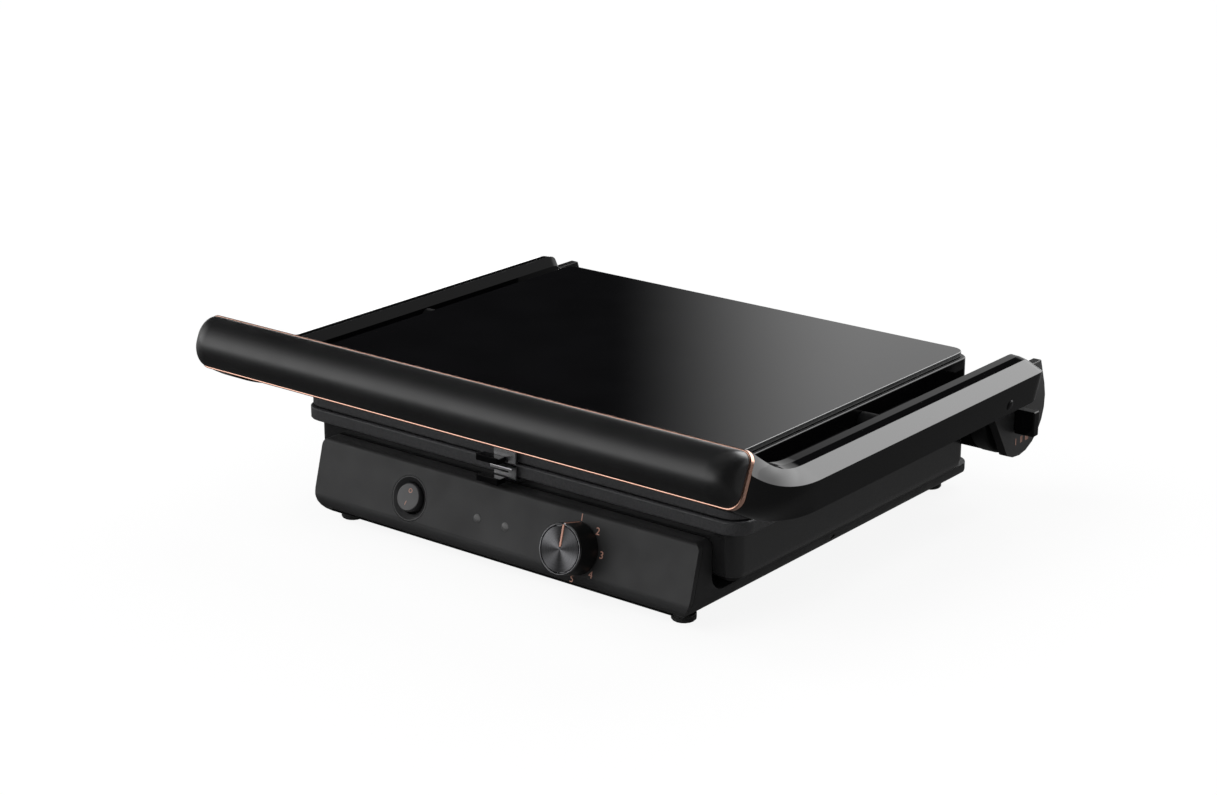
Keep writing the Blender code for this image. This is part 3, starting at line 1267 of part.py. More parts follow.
def make_brackets(materials, mover):
    for side, name in ((-1, "arm_bracket_left"), (1, "arm_bracket_right")):
        ends = sorted((side * BRACKET_INNER_X, side * BRACKET_OUTER_X))
        bracket = outline_solid(name, bracket_outline(), "YZ", *ends)
        hole = cylinder(name + "_hole", HINGE_PIN_DIAMETER + 2 * SEAT_GAP, BRACKET_INNER_X - OVERRUN,
                        BRACKET_OUTER_X - BRACKET_SKIN, side_frame(HINGE_Y, HINGE_Z, side))
        cut(bracket, hole)
        if side > 0:
            cut(bracket, lever_box("lever_slot", SEAT_GAP, SEAT_GAP, LEVER_TRAVEL,
                                   BRACKET_INNER_X - OVERRUN, BRACKET_OUTER_X + OVERRUN))
        finish(bracket, materials["hinge_grey"], mover)


def make_height_lever(materials, arms_mover):
    frame = Matrix.Translation((BRACKET_OUTER_X, HINGE_Y - LEVER_AHEAD, HINGE_Z - LEVER_DROP))
    mover = make_mover("height_lever_mover", frame, arms_mover)
    inner = BRACKET_OUTER_X + SEAT_GAP
    low = (inner, HINGE_Y - LEVER_AHEAD, HINGE_Z - LEVER_DROP)
    high = (inner + LEVER_REACH, low[1] + LEVER_THICKNESS, low[2] + LEVER_HEIGHT)
    lever = rounded_box("height_lever", low, high, LEVER_EDGE, LEVER_EDGE, LEVER_EDGE, 2, 2)
    shank_inner = BRACKET_OUTER_X - LEVER_SHANK_BITE
    fuse(lever, lever_box("lever_shank", 0.0, 0.0, 0.0, shank_inner, inner + LEVER_EDGE))
    finish(lever, materials["gloss_black"], mover)


def handle_frame():
    return tilted_frame(0.0, HANDLE_Y, HANDLE_Z, HANDLE_TILT)


def handle_outline(inset, radius):
    half = HANDLE_LENGTH / 2 - inset
    tall = HANDLE_HEIGHT / 2 - inset
    return rounded_outline([(-half, -tall, radius), (half, -tall, radius), (half, tall, radius),
                            (-half, tall, radius)])


def make_handle_back(materials, mover):
    half = ARM_INNER_X - SEAT_GAP
    tall = HANDLE_HEIGHT / 2 - HANDLE_BACK_INSET
    bar = rounded_box("handle_back", (-half, -tall, -HANDLE_BACK_DEPTH), (half, tall, -SEAT_GAP))
    bevel_long_edges(bar, -HANDLE_BACK_DEPTH, HANDLE_BACK_EDGE)
    finish(in_frame(bar, handle_frame()), materials["gloss_black"], mover)


def bevel_long_edges(item, height, radius):
    """Round the two long edges of a bar that lie at one local height."""
    bm = bmesh.new()
    bm.from_mesh(item.data)
    chosen = [e for e in bm.edges
              if all(abs(v.co.z - height) < WELD for v in e.verts)
              and abs(e.verts[0].co.y - e.verts[1].co.y) < WELD]
    round_edges(bm, chosen, radius, 5)
    bm.to_mesh(item.data)
    bm.free()
    item.data.shade_smooth()
    item.data.set_sharp_from_angle(angle=SMOOTH_ANGLE)


def make_handle_trim(materials, mover):
    trim = outline_solid("handle_trim", handle_outline(0.0, HANDLE_CORNER), "XY", 0.0, TRIM_THICKNESS)
    inner_radius = HANDLE_CORNER - TRIM_BAND
    hole = outline_solid("trim_cutter", handle_outline(TRIM_BAND, inner_radius), "XY",
                         -OVERRUN, TRIM_THICKNESS + OVERRUN)
    cut(trim, hole)
    hole.matrix_world = handle_frame()
    finish(in_frame(trim, handle_frame()), materials["copper"], mover)


def make_grip(materials, mover):
    """The grip's front cover: a rounded back that closes over to a long flat nose."""
    nose = (HANDLE_HEIGHT - GRIP_NOSE_FLAT) / 2 - GRIP_STEP
    back = TRIM_THICKNESS + SEAT_GAP
    rings = []
    for i in range(GRIP_RINGS + 1):
        a = math.pi / 2 * i / GRIP_RINGS
        inset = GRIP_STEP + nose * (1 - math.cos(a))
        tall = HANDLE_HEIGHT / 2 - inset
        share = i / GRIP_RINGS
        radius = min((1 - share) * HANDLE_CORNER + share * tall, tall * GRIP_FULLEST_SHARE)
        w = back + GRIP_DEPTH * math.sin(a)
        rings.append([(u, v, w) for u, v in handle_outline(inset, radius)])
    grip = loft("handle_grip", rings)
    pocket_half = HANDLE_LENGTH / 2 - HANDLE_CORNER - GRIP_WALL
    pocket_tall = HANDLE_HEIGHT / 2 - 2 * GRIP_WALL
    pocket = rounded_box("grip_pocket", (-pocket_half, -pocket_tall, back - OVERRUN),
                         (pocket_half, pocket_tall, back + GRIP_POCKET_DEPTH), GRIP_WALL)
    cut(grip, pocket)
    pocket.matrix_world = handle_frame()
    finish(in_frame(grip, handle_frame()), materials["soft_grip"], mover)


def make_arms(materials):
    mover = make_mover("arms_mover", Matrix.Translation((0.0, HINGE_Y, HINGE_Z)))
    right = make_arm("arm_right")
    left = mirrored(right, "arm_left")
    finish(right, materials["gloss_black"], mover)
    finish(left, materials["gloss_black"], mover)
    make_handle_back(materials, mover)
    make_handle_trim(materials, mover)
    make_grip(materials, mover)
    make_brackets(materials, mover)
    make_height_lever(materials, mover)
    return mover


def clip_outline(side):
    """A sprung strip: a tail in the housing, a roll over the rim, then a hook or a shelf."""
    thickness = CLIP_THICKNESS
    face = PLATE_FRONT_Y - CLIP_STANDOFF
    tail_end = HOUSING_FRONT_Y + CLIP_TAIL
    near = RIM_HEIGHT + 2 * SEAT_GAP
    end = hook_corners(face) if side > 0 else shelf_corners(face)
    corners = [
        (tail_end, near, 0.0),
        (face, near, CLIP_ROLL - thickness),
        *end,
        (face - thickness, near + thickness, CLIP_ROLL),
        (tail_end, near + thickness, 0.0),
    ]
    return [(y, level(side, d)) for y, d in rounded_outline(corners)]


def hook_corners(face):
    """The strip's end turned in under the rim."""
    low = SEAT_GAP
    high = SEAT_GAP + CLIP_THICKNESS
    return [
        (face, high, 0.0),
        (face + CLIP_HOOK, high, 0.0),
        (face + CLIP_HOOK, low, 0.0),
        (face - CLIP_THICKNESS, low, 0.0),
    ]


def shelf_corners(face):
    """The strip's end turned out as a short shelf with a lip."""
    top = CLIP_SHELF_DROP
    under = top + CLIP_THICKNESS
    front = face - CLIP_SHELF
    return [
        (face, top, 0.0),
        (front, top, CLIP_THICKNESS / 2),
        (front, top + CLIP_LIP, 0.0),
        (front + CLIP_THICKNESS, top + CLIP_LIP, 0.0),
        (front + CLIP_THICKNESS, under, 0.0),
        (face - CLIP_THICKNESS, under, 0.0),
    ]


def clip_window(prefix, side):
    """What is cut from a strip's left part, so that only a neck joins its two ends."""
    if side > 0:
        depths = (-OVERRUN, LATCH_TAB_HEIGHT / 2)
    else:
        depths = (CLIP_WINDOW, RIM_HEIGHT - CLIP_ROLL)
    heights = sorted((level(side, depths[0]), level(side, depths[1])))
    front = PLATE_FRONT_Y - CLIP_STANDOFF - CLIP_SHELF
    return rounded_box(prefix + "_clip_window", (CLIP_LEFT_X - OVERRUN, front, heights[0]),
                       (CLIP_LEFT_X + CLIP_WIDTH - CLIP_NECK_WIDTH, PLATE_FRONT_Y, heights[1]))


def make_latch(materials, prefix, side, parent):
    mover = make_mover(prefix + "_latch_mover",
                       Matrix.Translation((0.0, PLATE_FRONT_Y, level(side, RIM_HEIGHT))), parent)
    clip = outline_solid(prefix + "_release_clip", clip_outline(side), "YZ",
                         CLIP_LEFT_X, CLIP_LEFT_X + CLIP_WIDTH)
    cut(clip, clip_window(prefix, side))
    finish(clip, materials["steel"], mover)
    rear = PLATE_FRONT_Y - CLIP_STANDOFF - CLIP_THICKNESS - SEAT_GAP
    front = rear - LATCH_TAB_DEPTH
    near = SEAT_GAP if side > 0 else RIM_HEIGHT + SEAT_GAP
    bottom = level(side, near) if side > 0 else level(side, near + LATCH_TAB_HEIGHT)
    top = bottom + LATCH_TAB_HEIGHT
    lip = LATCH_TAB_LIP
    outline = rounded_outline([
        (rear, bottom, LATCH_TAB_EDGE), (rear, top, LATCH_TAB_EDGE), (front + 2 * lip, top, 0.0),
        (front + lip, top + lip, LATCH_TAB_EDGE), (front, top + lip, LATCH_TAB_EDGE),
        (front, bottom, LATCH_TAB_EDGE),
    ])
    tab = outline_solid(prefix + "_release_tab", outline, "YZ", LATCH_TAB_LEFT_X,
                        LATCH_TAB_LEFT_X + LATCH_TAB_WIDTH)
    finish(tab, materials["gloss_black"], mover)


def main():
    clear_scene()
    materials = make_materials()
    make_base_shell(materials)
    make_bottom_cover(materials)
    make_feet(materials)
    make_fascia(materials)
    make_switch(materials)
    make_lamps(materials)
    make_thermostat(materials)
    make_terminal_block(materials)
    make_gland(materials)
    make_lower_housing(materials)
    make_hinge_tower(materials)
    make_knob(materials)
    make_rocker(materials)
    make_latch(materials, "lower", -1, None)
    arms_mover = make_arms(materials)
    lid_mover = make_lid(materials, arms_mover)
    make_latch(materials, "upper", 1, lid_mover)


main()
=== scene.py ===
"""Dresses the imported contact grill: finer pieces, materials, prints, floor, lights and camera.

Metres, +Z up, +X to the user's right and the front towards -Y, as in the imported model.
"""
import json
import math

import bmesh
import bpy
from mathutils import Matrix, Vector


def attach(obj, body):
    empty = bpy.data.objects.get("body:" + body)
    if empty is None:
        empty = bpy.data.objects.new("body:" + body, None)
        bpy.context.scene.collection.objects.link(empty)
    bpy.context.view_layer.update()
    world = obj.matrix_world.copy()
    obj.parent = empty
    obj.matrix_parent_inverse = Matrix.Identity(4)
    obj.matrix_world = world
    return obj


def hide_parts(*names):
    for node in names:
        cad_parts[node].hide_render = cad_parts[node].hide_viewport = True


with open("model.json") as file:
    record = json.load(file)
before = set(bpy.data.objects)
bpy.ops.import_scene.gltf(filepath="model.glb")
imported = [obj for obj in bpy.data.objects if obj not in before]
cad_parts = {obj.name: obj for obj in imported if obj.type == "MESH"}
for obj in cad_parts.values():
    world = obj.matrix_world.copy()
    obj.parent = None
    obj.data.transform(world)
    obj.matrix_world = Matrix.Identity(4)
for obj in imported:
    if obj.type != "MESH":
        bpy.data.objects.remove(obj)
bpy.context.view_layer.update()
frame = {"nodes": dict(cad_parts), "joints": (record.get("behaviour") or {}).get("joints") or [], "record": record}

MM = 0.001
WELD = 0.001 * MM
OVERRUN = 2.0 * MM
SEAT_GAP = 0.3 * MM
RUN_GAP = 0.5 * MM
SMOOTH_ANGLE = math.radians(33.0)
BEVEL_ANGLE = math.radians(28.0)
BEVEL_SEGMENTS = 2
MERGE_ANGLE = math.radians(0.4)
FACE_WEIGHT = 90
FACING_SHARE = 0.5
ROUND_PROFILE = 0.5

BEHAVIOUR = frame["record"]["behaviour"]
BODY_OF = {node: body for body, nodes in BEHAVIOUR["bodies"].items() for node in nodes}
JOINTS = {joint["name"]: joint for joint in frame["joints"]}
HINGE = Vector(JOINTS["arm_hinge"]["pos_m"])
PIVOT = Vector(JOINTS["lid_float"]["pos_m"])
DIAL = Vector(JOINTS["dial_turn"]["pos_m"])
PANEL_OUT = -Vector(JOINTS["dial_turn"]["axis"]).normalized()
SLOT_OF = {name: node.material_slots[0].name for name, node in frame["nodes"].items()}

# Camera, solved from the photograph
PHOTO_WIDTH = 1217
FOCAL_PIXELS = 2494.7
SENSOR_WIDTH = 36.0
CAMERA_PLACE = (944.2 * MM, -1214.35 * MM, 589.9 * MM)
CAMERA_YAW = math.radians(38.42)
CAMERA_PITCH = math.radians(18.40)
CAMERA_NEAR = 0.05
CAMERA_FAR = 60.0

# Floor. Each stretch adds a strength to what gloss sees, along a direction and between two distances
FLOOR_RADIUS = 14.0
FLOOR_STEPS = 96
FLOOR_PAINT = (0.40, 0.40, 0.40, 1.0)
FLOOR_GLOW = 1.2
FLOOR_CAMERA_SHARE = 0.75
FLOOR_GLOSS_DIM = 0.06
FLOOR_GLOSS_BRIGHT = 0.15
FLOOR_BRIGHT_SIDE = (0.784, 0.621, 0.0)
FLOOR_BRIGHT_EDGE = (0.0, 0.15)
FLOOR_STRETCHES = (
    (2.2, (0.0, 1.0, 0.0), (0.9, 1.5)),
    (0.45, (0.0, 1.0, 0.0), (0.35, 0.60)),
    (0.40, (-1.0, 0.0, 0.0), (0.45, 0.75)),
)

# Light. Each gloss light is a strength and its soft edges: a direction and the two cosines it fades between
DIFFUSE_LEVEL = 0.38
LAMP_ANGLE = math.radians(50.0)
LAMP_DISTANCE = 3.0
LAMPS = (
    ("key_lamp", (-0.50, -0.75, 0.90), 2.0),
    ("rear_lamp", (0.10, 0.80, 0.90), 1.1),
)
GLOSS_AMBIENT = 0.006
UPWARDS = (0.0, 0.0, 1.0)
DOWNWARDS = (0.0, 0.0, -1.0)
WEDGE_LEFT = ((0.970, 0.242, 0.0), -0.03, 0.04)
WEDGE_RIGHT = ((-0.819, 0.574, 0.0), -0.05, 0.06)
WEDGE_TOP = (DOWNWARDS, -0.88, -0.74)
GLOSS_LIGHTS = (
    (10.2, (WEDGE_LEFT, WEDGE_RIGHT, (UPWARDS, 0.10, 0.90), WEDGE_TOP)),
    (1.45, (WEDGE_LEFT, WEDGE_RIGHT, WEDGE_TOP)),
    (0.80, (((0.784, 0.621, 0.0), 0.0, 0.105), ((0.0, 1.0, 0.0), 0.2, 0.5), (DOWNWARDS, -0.46, -0.36))),
    (2.6, (((-0.59, -0.80, 0.0), 0.30, 0.80), (UPWARDS, -0.12, 0.0), (DOWNWARDS, -0.85, 0.0))),
    (0.30, ((UPWARDS, 0.85, 0.97),)),
)

# Arms
ARM_WIDTH = 26.8 * MM
ARM_HEIGHT = 28.0 * MM
ARM_REAR_LENGTH = 1.0 * MM
ARM_INNER_CHAMFER_X = 3.0 * MM
ARM_INNER_CHAMFER_Z = 7.0 * MM
ARM_LEDGE_X = 8.5 * MM
ARM_LEDGE_DROP = 0.4 * MM
ARM_CREST_X = 14.0 * MM
ARM_CREST_DROP = 1.6 * MM
ARM_FACET_DROP = 7.4 * MM
ARM_UNDERCUT = 4.0 * MM
ARM_END_CORNER = 13.0 * MM
ARM_END_TURN = math.radians(89.0)
ARM_END_STEPS = 26
ARM_END_SQUARE = 4.0
ARM_END_BLUNT = 3.0
ARM_END_ROUND = 2.6
ARM_NECK_LENGTH = 67.0 * MM
ARM_NECK_OUT_SHARE = 0.38
ARM_NECK_IN_SHARE = 0.31
ARM_NECK_DIP_SHARE = 2.0
ARM_NECK_STEPS = 28
ARM_BEVEL = 0.9 * MM
ARM_BEVEL_SEGMENTS = 5
ARM_BEVEL_ANGLE = math.radians(35.0)
ARM_SMOOTH_ANGLE = math.radians(7.0)
LEDGE_POINTS = 1
CREST_POINTS = 3
FACET_POINTS = 4
SIDE_POINTS = 3
CORNER_POINTS = 14
RING_CREST_ANGLE = math.radians(80.0)
RING_BROW_HEIGHT = 4.5 * MM
ARM_INNER_X = 190.0 * MM
ARM_CENTRE_Z = PIVOT.z
BRACKET_NOSE = 40.0 * MM
BRACKET_OUTER_X = 198.5 * MM
BRACKET_TOP_Z = 98.0 * MM
PIVOT_PIN_DIAMETER = 10.0 * MM
PIVOT_PIN_BITE = 10.0 * MM
PIVOT_HOLE_STEPS = 48
ARM_BUMP_PLACE = (213.9 * MM, 114.5 * MM, 87.3 * MM)
ARM_BUMP_DIAMETER = 7.5 * MM
ARM_BUMP_RISE = 1.0 * MM
ARM_BUMP_STEPS = 40
ARM_BUMP_SHARES = ((0.0, 1.0), (0.45, 0.93), (0.75, 0.70), (0.92, 0.35), (1.0, -0.2), (0.0, -0.4))

# Handle
HANDLE_LENGTH = 427.0 * MM
HANDLE_HEIGHT = 34.6 * MM
HANDLE_UPPER_CORNER = 7.0 * MM
HANDLE_LOWER_CORNER = 9.0 * MM
HANDLE_TILT = math.radians(23.0)
HANDLE_Y = -169.45 * MM
HANDLE_RISE = 22.3 * MM
HANDLE_CORNER_STEPS = 16
TRIM_THICKNESS = 4.0 * MM
TRIM_BAND = 3.0 * MM
TRIM_EDGE = 0.5 * MM
GRIP_DEPTH = 16.4 * MM
GRIP_STEP = 0.8 * MM
GRIP_LIFT = 0.10 * MM
GRIP_NOSE_FLAT = 1.0 * MM
GRIP_RINGS = 18
GRIP_FULLEST_SHARE = 0.98
BACK_DEPTH = 13.5 * MM
BACK_INSET = 2.5 * MM
BACK_CORNER = 2.0 * MM
BACK_CORNER_STEPS = 6
BACK_EDGE = 6.0 * MM
BACK_RINGS = 8

# Switch, lamps and dial, in the panel's own directions. Profiles hold (radius, height) in millimetres
ROCKER_PIVOT = Vector(JOINTS["rocker_tilt"]["pos_m"])
ROCKER_TILT = math.radians(JOINTS["rocker_tilt"]["range_deg"][1] / 2)
ROCKER_PROFILE = (
    (0.0, 6.6), (8.2, 6.6), (8.7, 6.5), (9.05, 6.2), (9.25, 5.7), (9.3, 5.1), (9.3, -3.6), (0.0, -3.6),
)
ROCKER_STEPS = 96
ROCKER_MARK_TURN = math.radians(-11.0)
ROCKER_MARK_PLACE = 4.2 * MM
ROCKER_MARK_HEIGHT = 2.9 * MM
ROCKER_FACE = 6.61 * MM
LAMP_X = {"lamp_lens_left": -14.4 * MM, "lamp_lens_right": 8.4 * MM}
LAMP_PROFILE = (
    (0.0, 0.55), (1.2, 0.50), (2.2, 0.34), (2.75, 0.14), (2.8, -0.02), (2.35, -0.02), (2.35, -4.3),
    (3.35, -4.3), (3.35, -5.3), (0.0, -5.3),
)
LAMP_STEPS = 48
KNOB_EDGE = 0.25 * MM
KNOB_RIM_RADIUS = 14.1 * MM
KNOB_RIM_HEIGHT = 15.88 * MM
KNOB_LINE_WIDTH = 1.2 * MM
KNOB_LINE = ((16.37, 1.6), (15.93, 15.9))

# Dial's spun face, with highlight fans painted into its base colour. Each fan is a count round the axis, a turn
# and a share of the painted highlight
FACE_COLOUR = (0.046, 0.046, 0.048)
FACE_RINGS = 2600.0
FACE_RING_SHARE = 0.35
PAINTED_FAN_LEVEL = 0.32
PAINTED_FANS = ((4, math.radians(-134.0), 0.16), (2, math.radians(-65.0), 0.07))

# Softened nodes: each one's edge in millimetres and its look
EDGE_WIDTHS = {
    "base_shell": (1.2, "body_grey"),
    "bottom_cover": (0.3, "body_grey"),
    "foot_front_left": (0.4, "rubber"),
    "foot_front_right": (0.4, "rubber"),
    "foot_rear_left": (0.4, "rubber"),
    "foot_rear_right": (0.4, "rubber"),
    "front_fascia": (0.7, "body_grey"),
    "switch_bezel": (0.45, "switch_rim"),
    "knob_face": (0.1, "knob_metal"),
    "knob_pointer": (0.1, "print_copper"),
    "cord_gland": (0.4, "rubber"),
    "hinge_tower": (0.6, "hinge_black"),
    "hinge_cap_left": (0.6, "hinge_black"),
    "hinge_cap_right": (0.6, "hinge_black"),
    "lid_pivot_left": (0.4, "hinge_black"),
    "lid_pivot_right": (0.4, "hinge_black"),
    "height_lever": (0.3, "gloss_black"),
    "upper_release_clip": (0.15, "steel"),
    "lower_release_clip": (0.15, "steel"),
    "upper_release_tab": (0.2, "gloss_black"),
    "lower_release_tab": (0.2, "gloss_black"),
}
BRACKET_EDGE = 0.5 * MM
HOUSING_EDGE = 0.5 * MM
# Lower housing faces that point further down than this get painted shade.
HOUSING_SHADE = -0.45
PLATE_RIM = 6.0 * MM
PLATE_EDGE = 0.6 * MM
LID_RIM_RADIUS = 2.4 * MM
LID_RIM_SEGMENTS = 6

# Prints: the dial's figures, turned from the top of its circle, and the height marks on the bracket
DIGIT_RADIUS = 18.9 * MM
DIGIT_HEIGHT = 4.6 * MM
DIGIT_ANGLES = (0.0, 45.0, 90.0, 135.0, 180.0)
PRINT_THICKNESS = 0.05 * MM
PRINT_BITE = 0.02 * MM
MARK_Z = 48.8 * MM
MARK_HEIGHT = 4.4 * MM
MARK_STROKE = 0.7 * MM
MARK_PITCH = 1.55 * MM
MARK_PLACES = ((153.3 * MM, 1), (160.4 * MM, 2), (167.6 * MM, 3))
CAPITAL_SHARE = 0.72

# A noise texture's middle range, which most of its values lie in
NOISE_LOW = 0.3
NOISE_HIGH = 0.7


def panel_frame(x):
    """Local X along world X, local Y up the panel and local Z out of it."""
    up = PANEL_OUT.cross(Vector((1.0, 0.0, 0.0)))
    turn = Matrix(((1.0, up.x, PANEL_OUT.x), (0.0, up.y, PANEL_OUT.y), (0.0, up.z, PANEL_OUT.z)))
    return Matrix.Translation((x, DIAL.y, DIAL.z)) @ turn.to_4x4()


def tilted_frame(y, z, tilt):
    """Local X along world X, local Y up and leaning back, and local Z out to the front."""
    up = (0.0, math.sin(tilt), math.cos(tilt))
    out = (0.0, -math.cos(tilt), math.sin(tilt))
    turn = Matrix(((1.0, up[0], out[0]), (0.0, up[1], out[1]), (0.0, up[2], out[2])))
    return Matrix.Translation((0.0, y, z)) @ turn.to_4x4()


def side_frame(x, y, z, side=1):
    """Local Z along world X, outwards on the given side."""
    return Matrix.Translation((x, y, z)) @ Matrix.Rotation(side * math.pi / 2, 4, "Y")


def object_from(name, bm, matrix=None, angle=SMOOTH_ANGLE):
    """A mesh object from a bmesh, smooth but for its sharp edges."""
    if matrix is not None:
        bm.transform(matrix)
    bmesh.ops.recalc_face_normals(bm, faces=bm.faces)
    mesh = bpy.data.meshes.new(name)
    bm.to_mesh(mesh)
    bm.free()
    mesh.shade_smooth()
    mesh.set_sharp_from_angle(angle=angle)
    item = bpy.data.objects.new(name, mesh)
    bpy.context.scene.collection.objects.link(item)
    return item


def soften(item, width=0.0):
    """Round the sharp edges, and keep flat faces flat in the shading."""
    if width:
        bevel = item.modifiers.new("soft_edges", "BEVEL")
        bevel.width = width
        bevel.segments = BEVEL_SEGMENTS
        bevel.limit_method = "ANGLE"
        bevel.angle_limit = BEVEL_ANGLE
        bevel.use_clamp_overlap = True
        bevel.miter_outer = "MITER_ARC"
    even = item.modifiers.new("even_normals", "WEIGHTED_NORMAL")
    even.keep_sharp = True
    even.weight = FACE_WEIGHT
    return item


def settle(item):
    """Apply the modifiers, so that the mesh itself has the shape."""
    bpy.context.view_layer.update()
    evaluated = item.evaluated_get(bpy.context.evaluated_depsgraph_get())
    mesh = bpy.data.meshes.new_from_object(evaluated)
    item.modifiers.clear()
    item.data = mesh


def dress(item, material, body, slot, *nodes):
    """Give a piece its material, its body and the nodes that it stands for. The slot argument is not used."""
    item.data.materials.clear()
    item.data.materials.append(material)
    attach(item, body)
    if nodes:
        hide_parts(*nodes)
    return item


def node_bmesh(node):
    """A CAD node's faces, welded and without the lines across its flat faces."""
    bm = bmesh.new()
    bm.from_mesh(frame["nodes"][node].data)
    bmesh.ops.remove_doubles(bm, verts=bm.verts, dist=WELD)
    bmesh.ops.dissolve_limit(bm, angle_limit=MERGE_ANGLE, verts=bm.verts, edges=bm.edges)
    points = [vertex.co.copy() for vertex in bm.verts]
    bm.verts.index_update()
    faces = [[vertex.index for vertex in face.verts] for face in bm.faces]
    bm.free()
    clean = bmesh.new()
    corners = [clean.verts.new(point) for point in points]
    for face in faces:
        clean.faces.new([corners[i] for i in face])
    return clean


def refined(node, material, width):
    """A CAD node's own shape with softened edges."""
    item = soften(object_from(node + "_soft", node_bmesh(node)), width)
    return dress(item, material, BODY_OF[node], SLOT_OF[node], node)


def combine(item, other, operation):
    modifier = item.modifiers.new(other.name, "BOOLEAN")
    modifier.operation = operation
    modifier.solver = "EXACT"
    modifier.object = other


def box(name, low, high):
    bm = bmesh.new()
    middle = (Vector(low) + Vector(high)) / 2
    size = Vector(high) - Vector(low)
    bmesh.ops.create_cube(bm, size=1.0, matrix=Matrix.Translation(middle) @ Matrix.Diagonal((*size, 1.0)))
    return object_from(name, bm)


def cylinder(name, diameter, low, high, matrix, steps):
    """A round bar along local Z between two heights."""
    bm = bmesh.new()
    middle = matrix @ Matrix.Translation((0.0, 0.0, (low + high) / 2))
    bmesh.ops.create_cone(bm, cap_ends=True, segments=steps, radius1=diameter / 2, radius2=diameter / 2,
                          depth=high - low, matrix=middle)
    return object_from(name, bm)


def turned(name, profile, matrix, steps):
    """An open profile of (radius, height) points turned about local Z, its axis points merged."""
    bm = bmesh.new()
    rows = []
    for radius, height in profile:
        if radius < WELD:
            rows.append([bm.verts.new((0.0, 0.0, height))])
            continue
        turns = [math.tau * i / steps for i in range(steps)]
        rows.append([bm.verts.new((radius * math.cos(a), radius * math.sin(a), height)) for a in turns])
    for row, following in zip(rows, rows[1:]):
        for i in range(steps):
            j = (i + 1) % steps
            ends = [row[i % len(row)], row[j % len(row)]]
            ends += [following[j % len(following)], following[i % len(following)]]
            corners = list(dict.fromkeys(ends))
            if len(corners) > 2:
                bm.faces.new(corners)
    return object_from(name, bm, matrix)


def loft(name, rings, matrix=None, joined=False):
    """Skin a row of rings, each with as many points. Cap both ends, or join the last to the first."""
    bm = bmesh.new()
    rows = [[bm.verts.new(point) for point in ring] for ring in rings]
    count = len(rings[0])
    for row, following in zip(rows, rows[1:] + rows[:1] if joined else rows[1:]):
        for i in range(count):
            j = (i + 1) % count
            bm.faces.new((row[i], row[j], following[j], following[i]))
    if not joined:
        bm.faces.new(rows[0])
        bm.faces.new(rows[-1])
    return object_from(name, bm, matrix)


def prism(name, points, low, high, matrix):
    """A flat outline of (u, v) points, between two heights of a frame."""
    rings = [[(u, v, w) for u, v in points] for w in (low, high)]
    return loft(name, rings, matrix)


def arc(centre, radius, start, end, steps):
    turns = [start + (end - start) * i / steps for i in range(steps + 1)]
    return [(centre[0] + radius * math.cos(a), centre[1] + radius * math.sin(a)) for a in turns]


def handle_outline(half_length, half_height, upper, lower, steps=HANDLE_CORNER_STEPS):
    """A closed outline with two upper and two lower round corners, always with as many points."""
    points = []
    corners = ((1, 1, upper), (-1, 1, upper), (-1, -1, lower), (1, -1, lower))
    for turn, (side, rise, radius) in enumerate(corners):
        centre = (side * (half_length - radius), rise * (half_height - radius))
        start = turn * math.pi / 2
        points += arc(centre, radius, start, start + math.pi / 2, steps)
    return points


def between(first, last, steps):
    """Points on a straight line, its first one left out."""
    shares = [i / steps for i in range(1, steps + 1)]
    return [(first[0] + (last[0] - first[0]) * s, first[1] + (last[1] - first[1]) * s) for s in shares]


def arm_section(blend):
    """The arm's outline across its run, from its main form (0) to the handle's end (1)."""
    half = ARM_HEIGHT / 2
    inside = (ARM_INNER_CHAMFER_X, half)
    ledge = (ARM_LEDGE_X, half - ARM_LEDGE_DROP)
    crest = (ARM_CREST_X, half - ARM_CREST_DROP)
    brow = (ARM_WIDTH, half - ARM_FACET_DROP)
    foot = (ARM_WIDTH - ARM_UNDERCUT, -half)
    main = [(0.0, -half), (0.0, half - ARM_INNER_CHAMFER_Z), inside]
    main += between(inside, ledge, LEDGE_POINTS) + between(ledge, crest, CREST_POINTS)
    main += between(crest, brow, FACET_POINTS) + between(brow, foot, SIDE_POINTS + CORNER_POINTS)
    tall = HANDLE_HEIGHT / 2
    side = HANDLE_LENGTH / 2 - ARM_INNER_X
    upper = arc((side - HANDLE_UPPER_CORNER, tall - HANDLE_UPPER_CORNER), HANDLE_UPPER_CORNER,
                math.pi / 2, RING_CREST_ANGLE, CREST_POINTS)
    lower = arc((side - HANDLE_LOWER_CORNER, HANDLE_LOWER_CORNER - tall), HANDLE_LOWER_CORNER,
                0.0, -math.pi / 2, CORNER_POINTS)
    brow_end = (side, RING_BROW_HEIGHT)
    end = [(0.0, -tall), (0.0, tall - ARM_INNER_CHAMFER_X), (ARM_INNER_CHAMFER_X, tall)]
    end += between(end[-1], upper[0], LEDGE_POINTS) + upper[1:]
    end += between(upper[-1], brow_end, FACET_POINTS) + between(brow_end, lower[0], SIDE_POINTS) + lower[1:]
    keep = 1 - blend
    return [(a[0] * keep + b[0] * blend, a[1] * keep + b[1] * blend) for a, b in zip(main, end)]


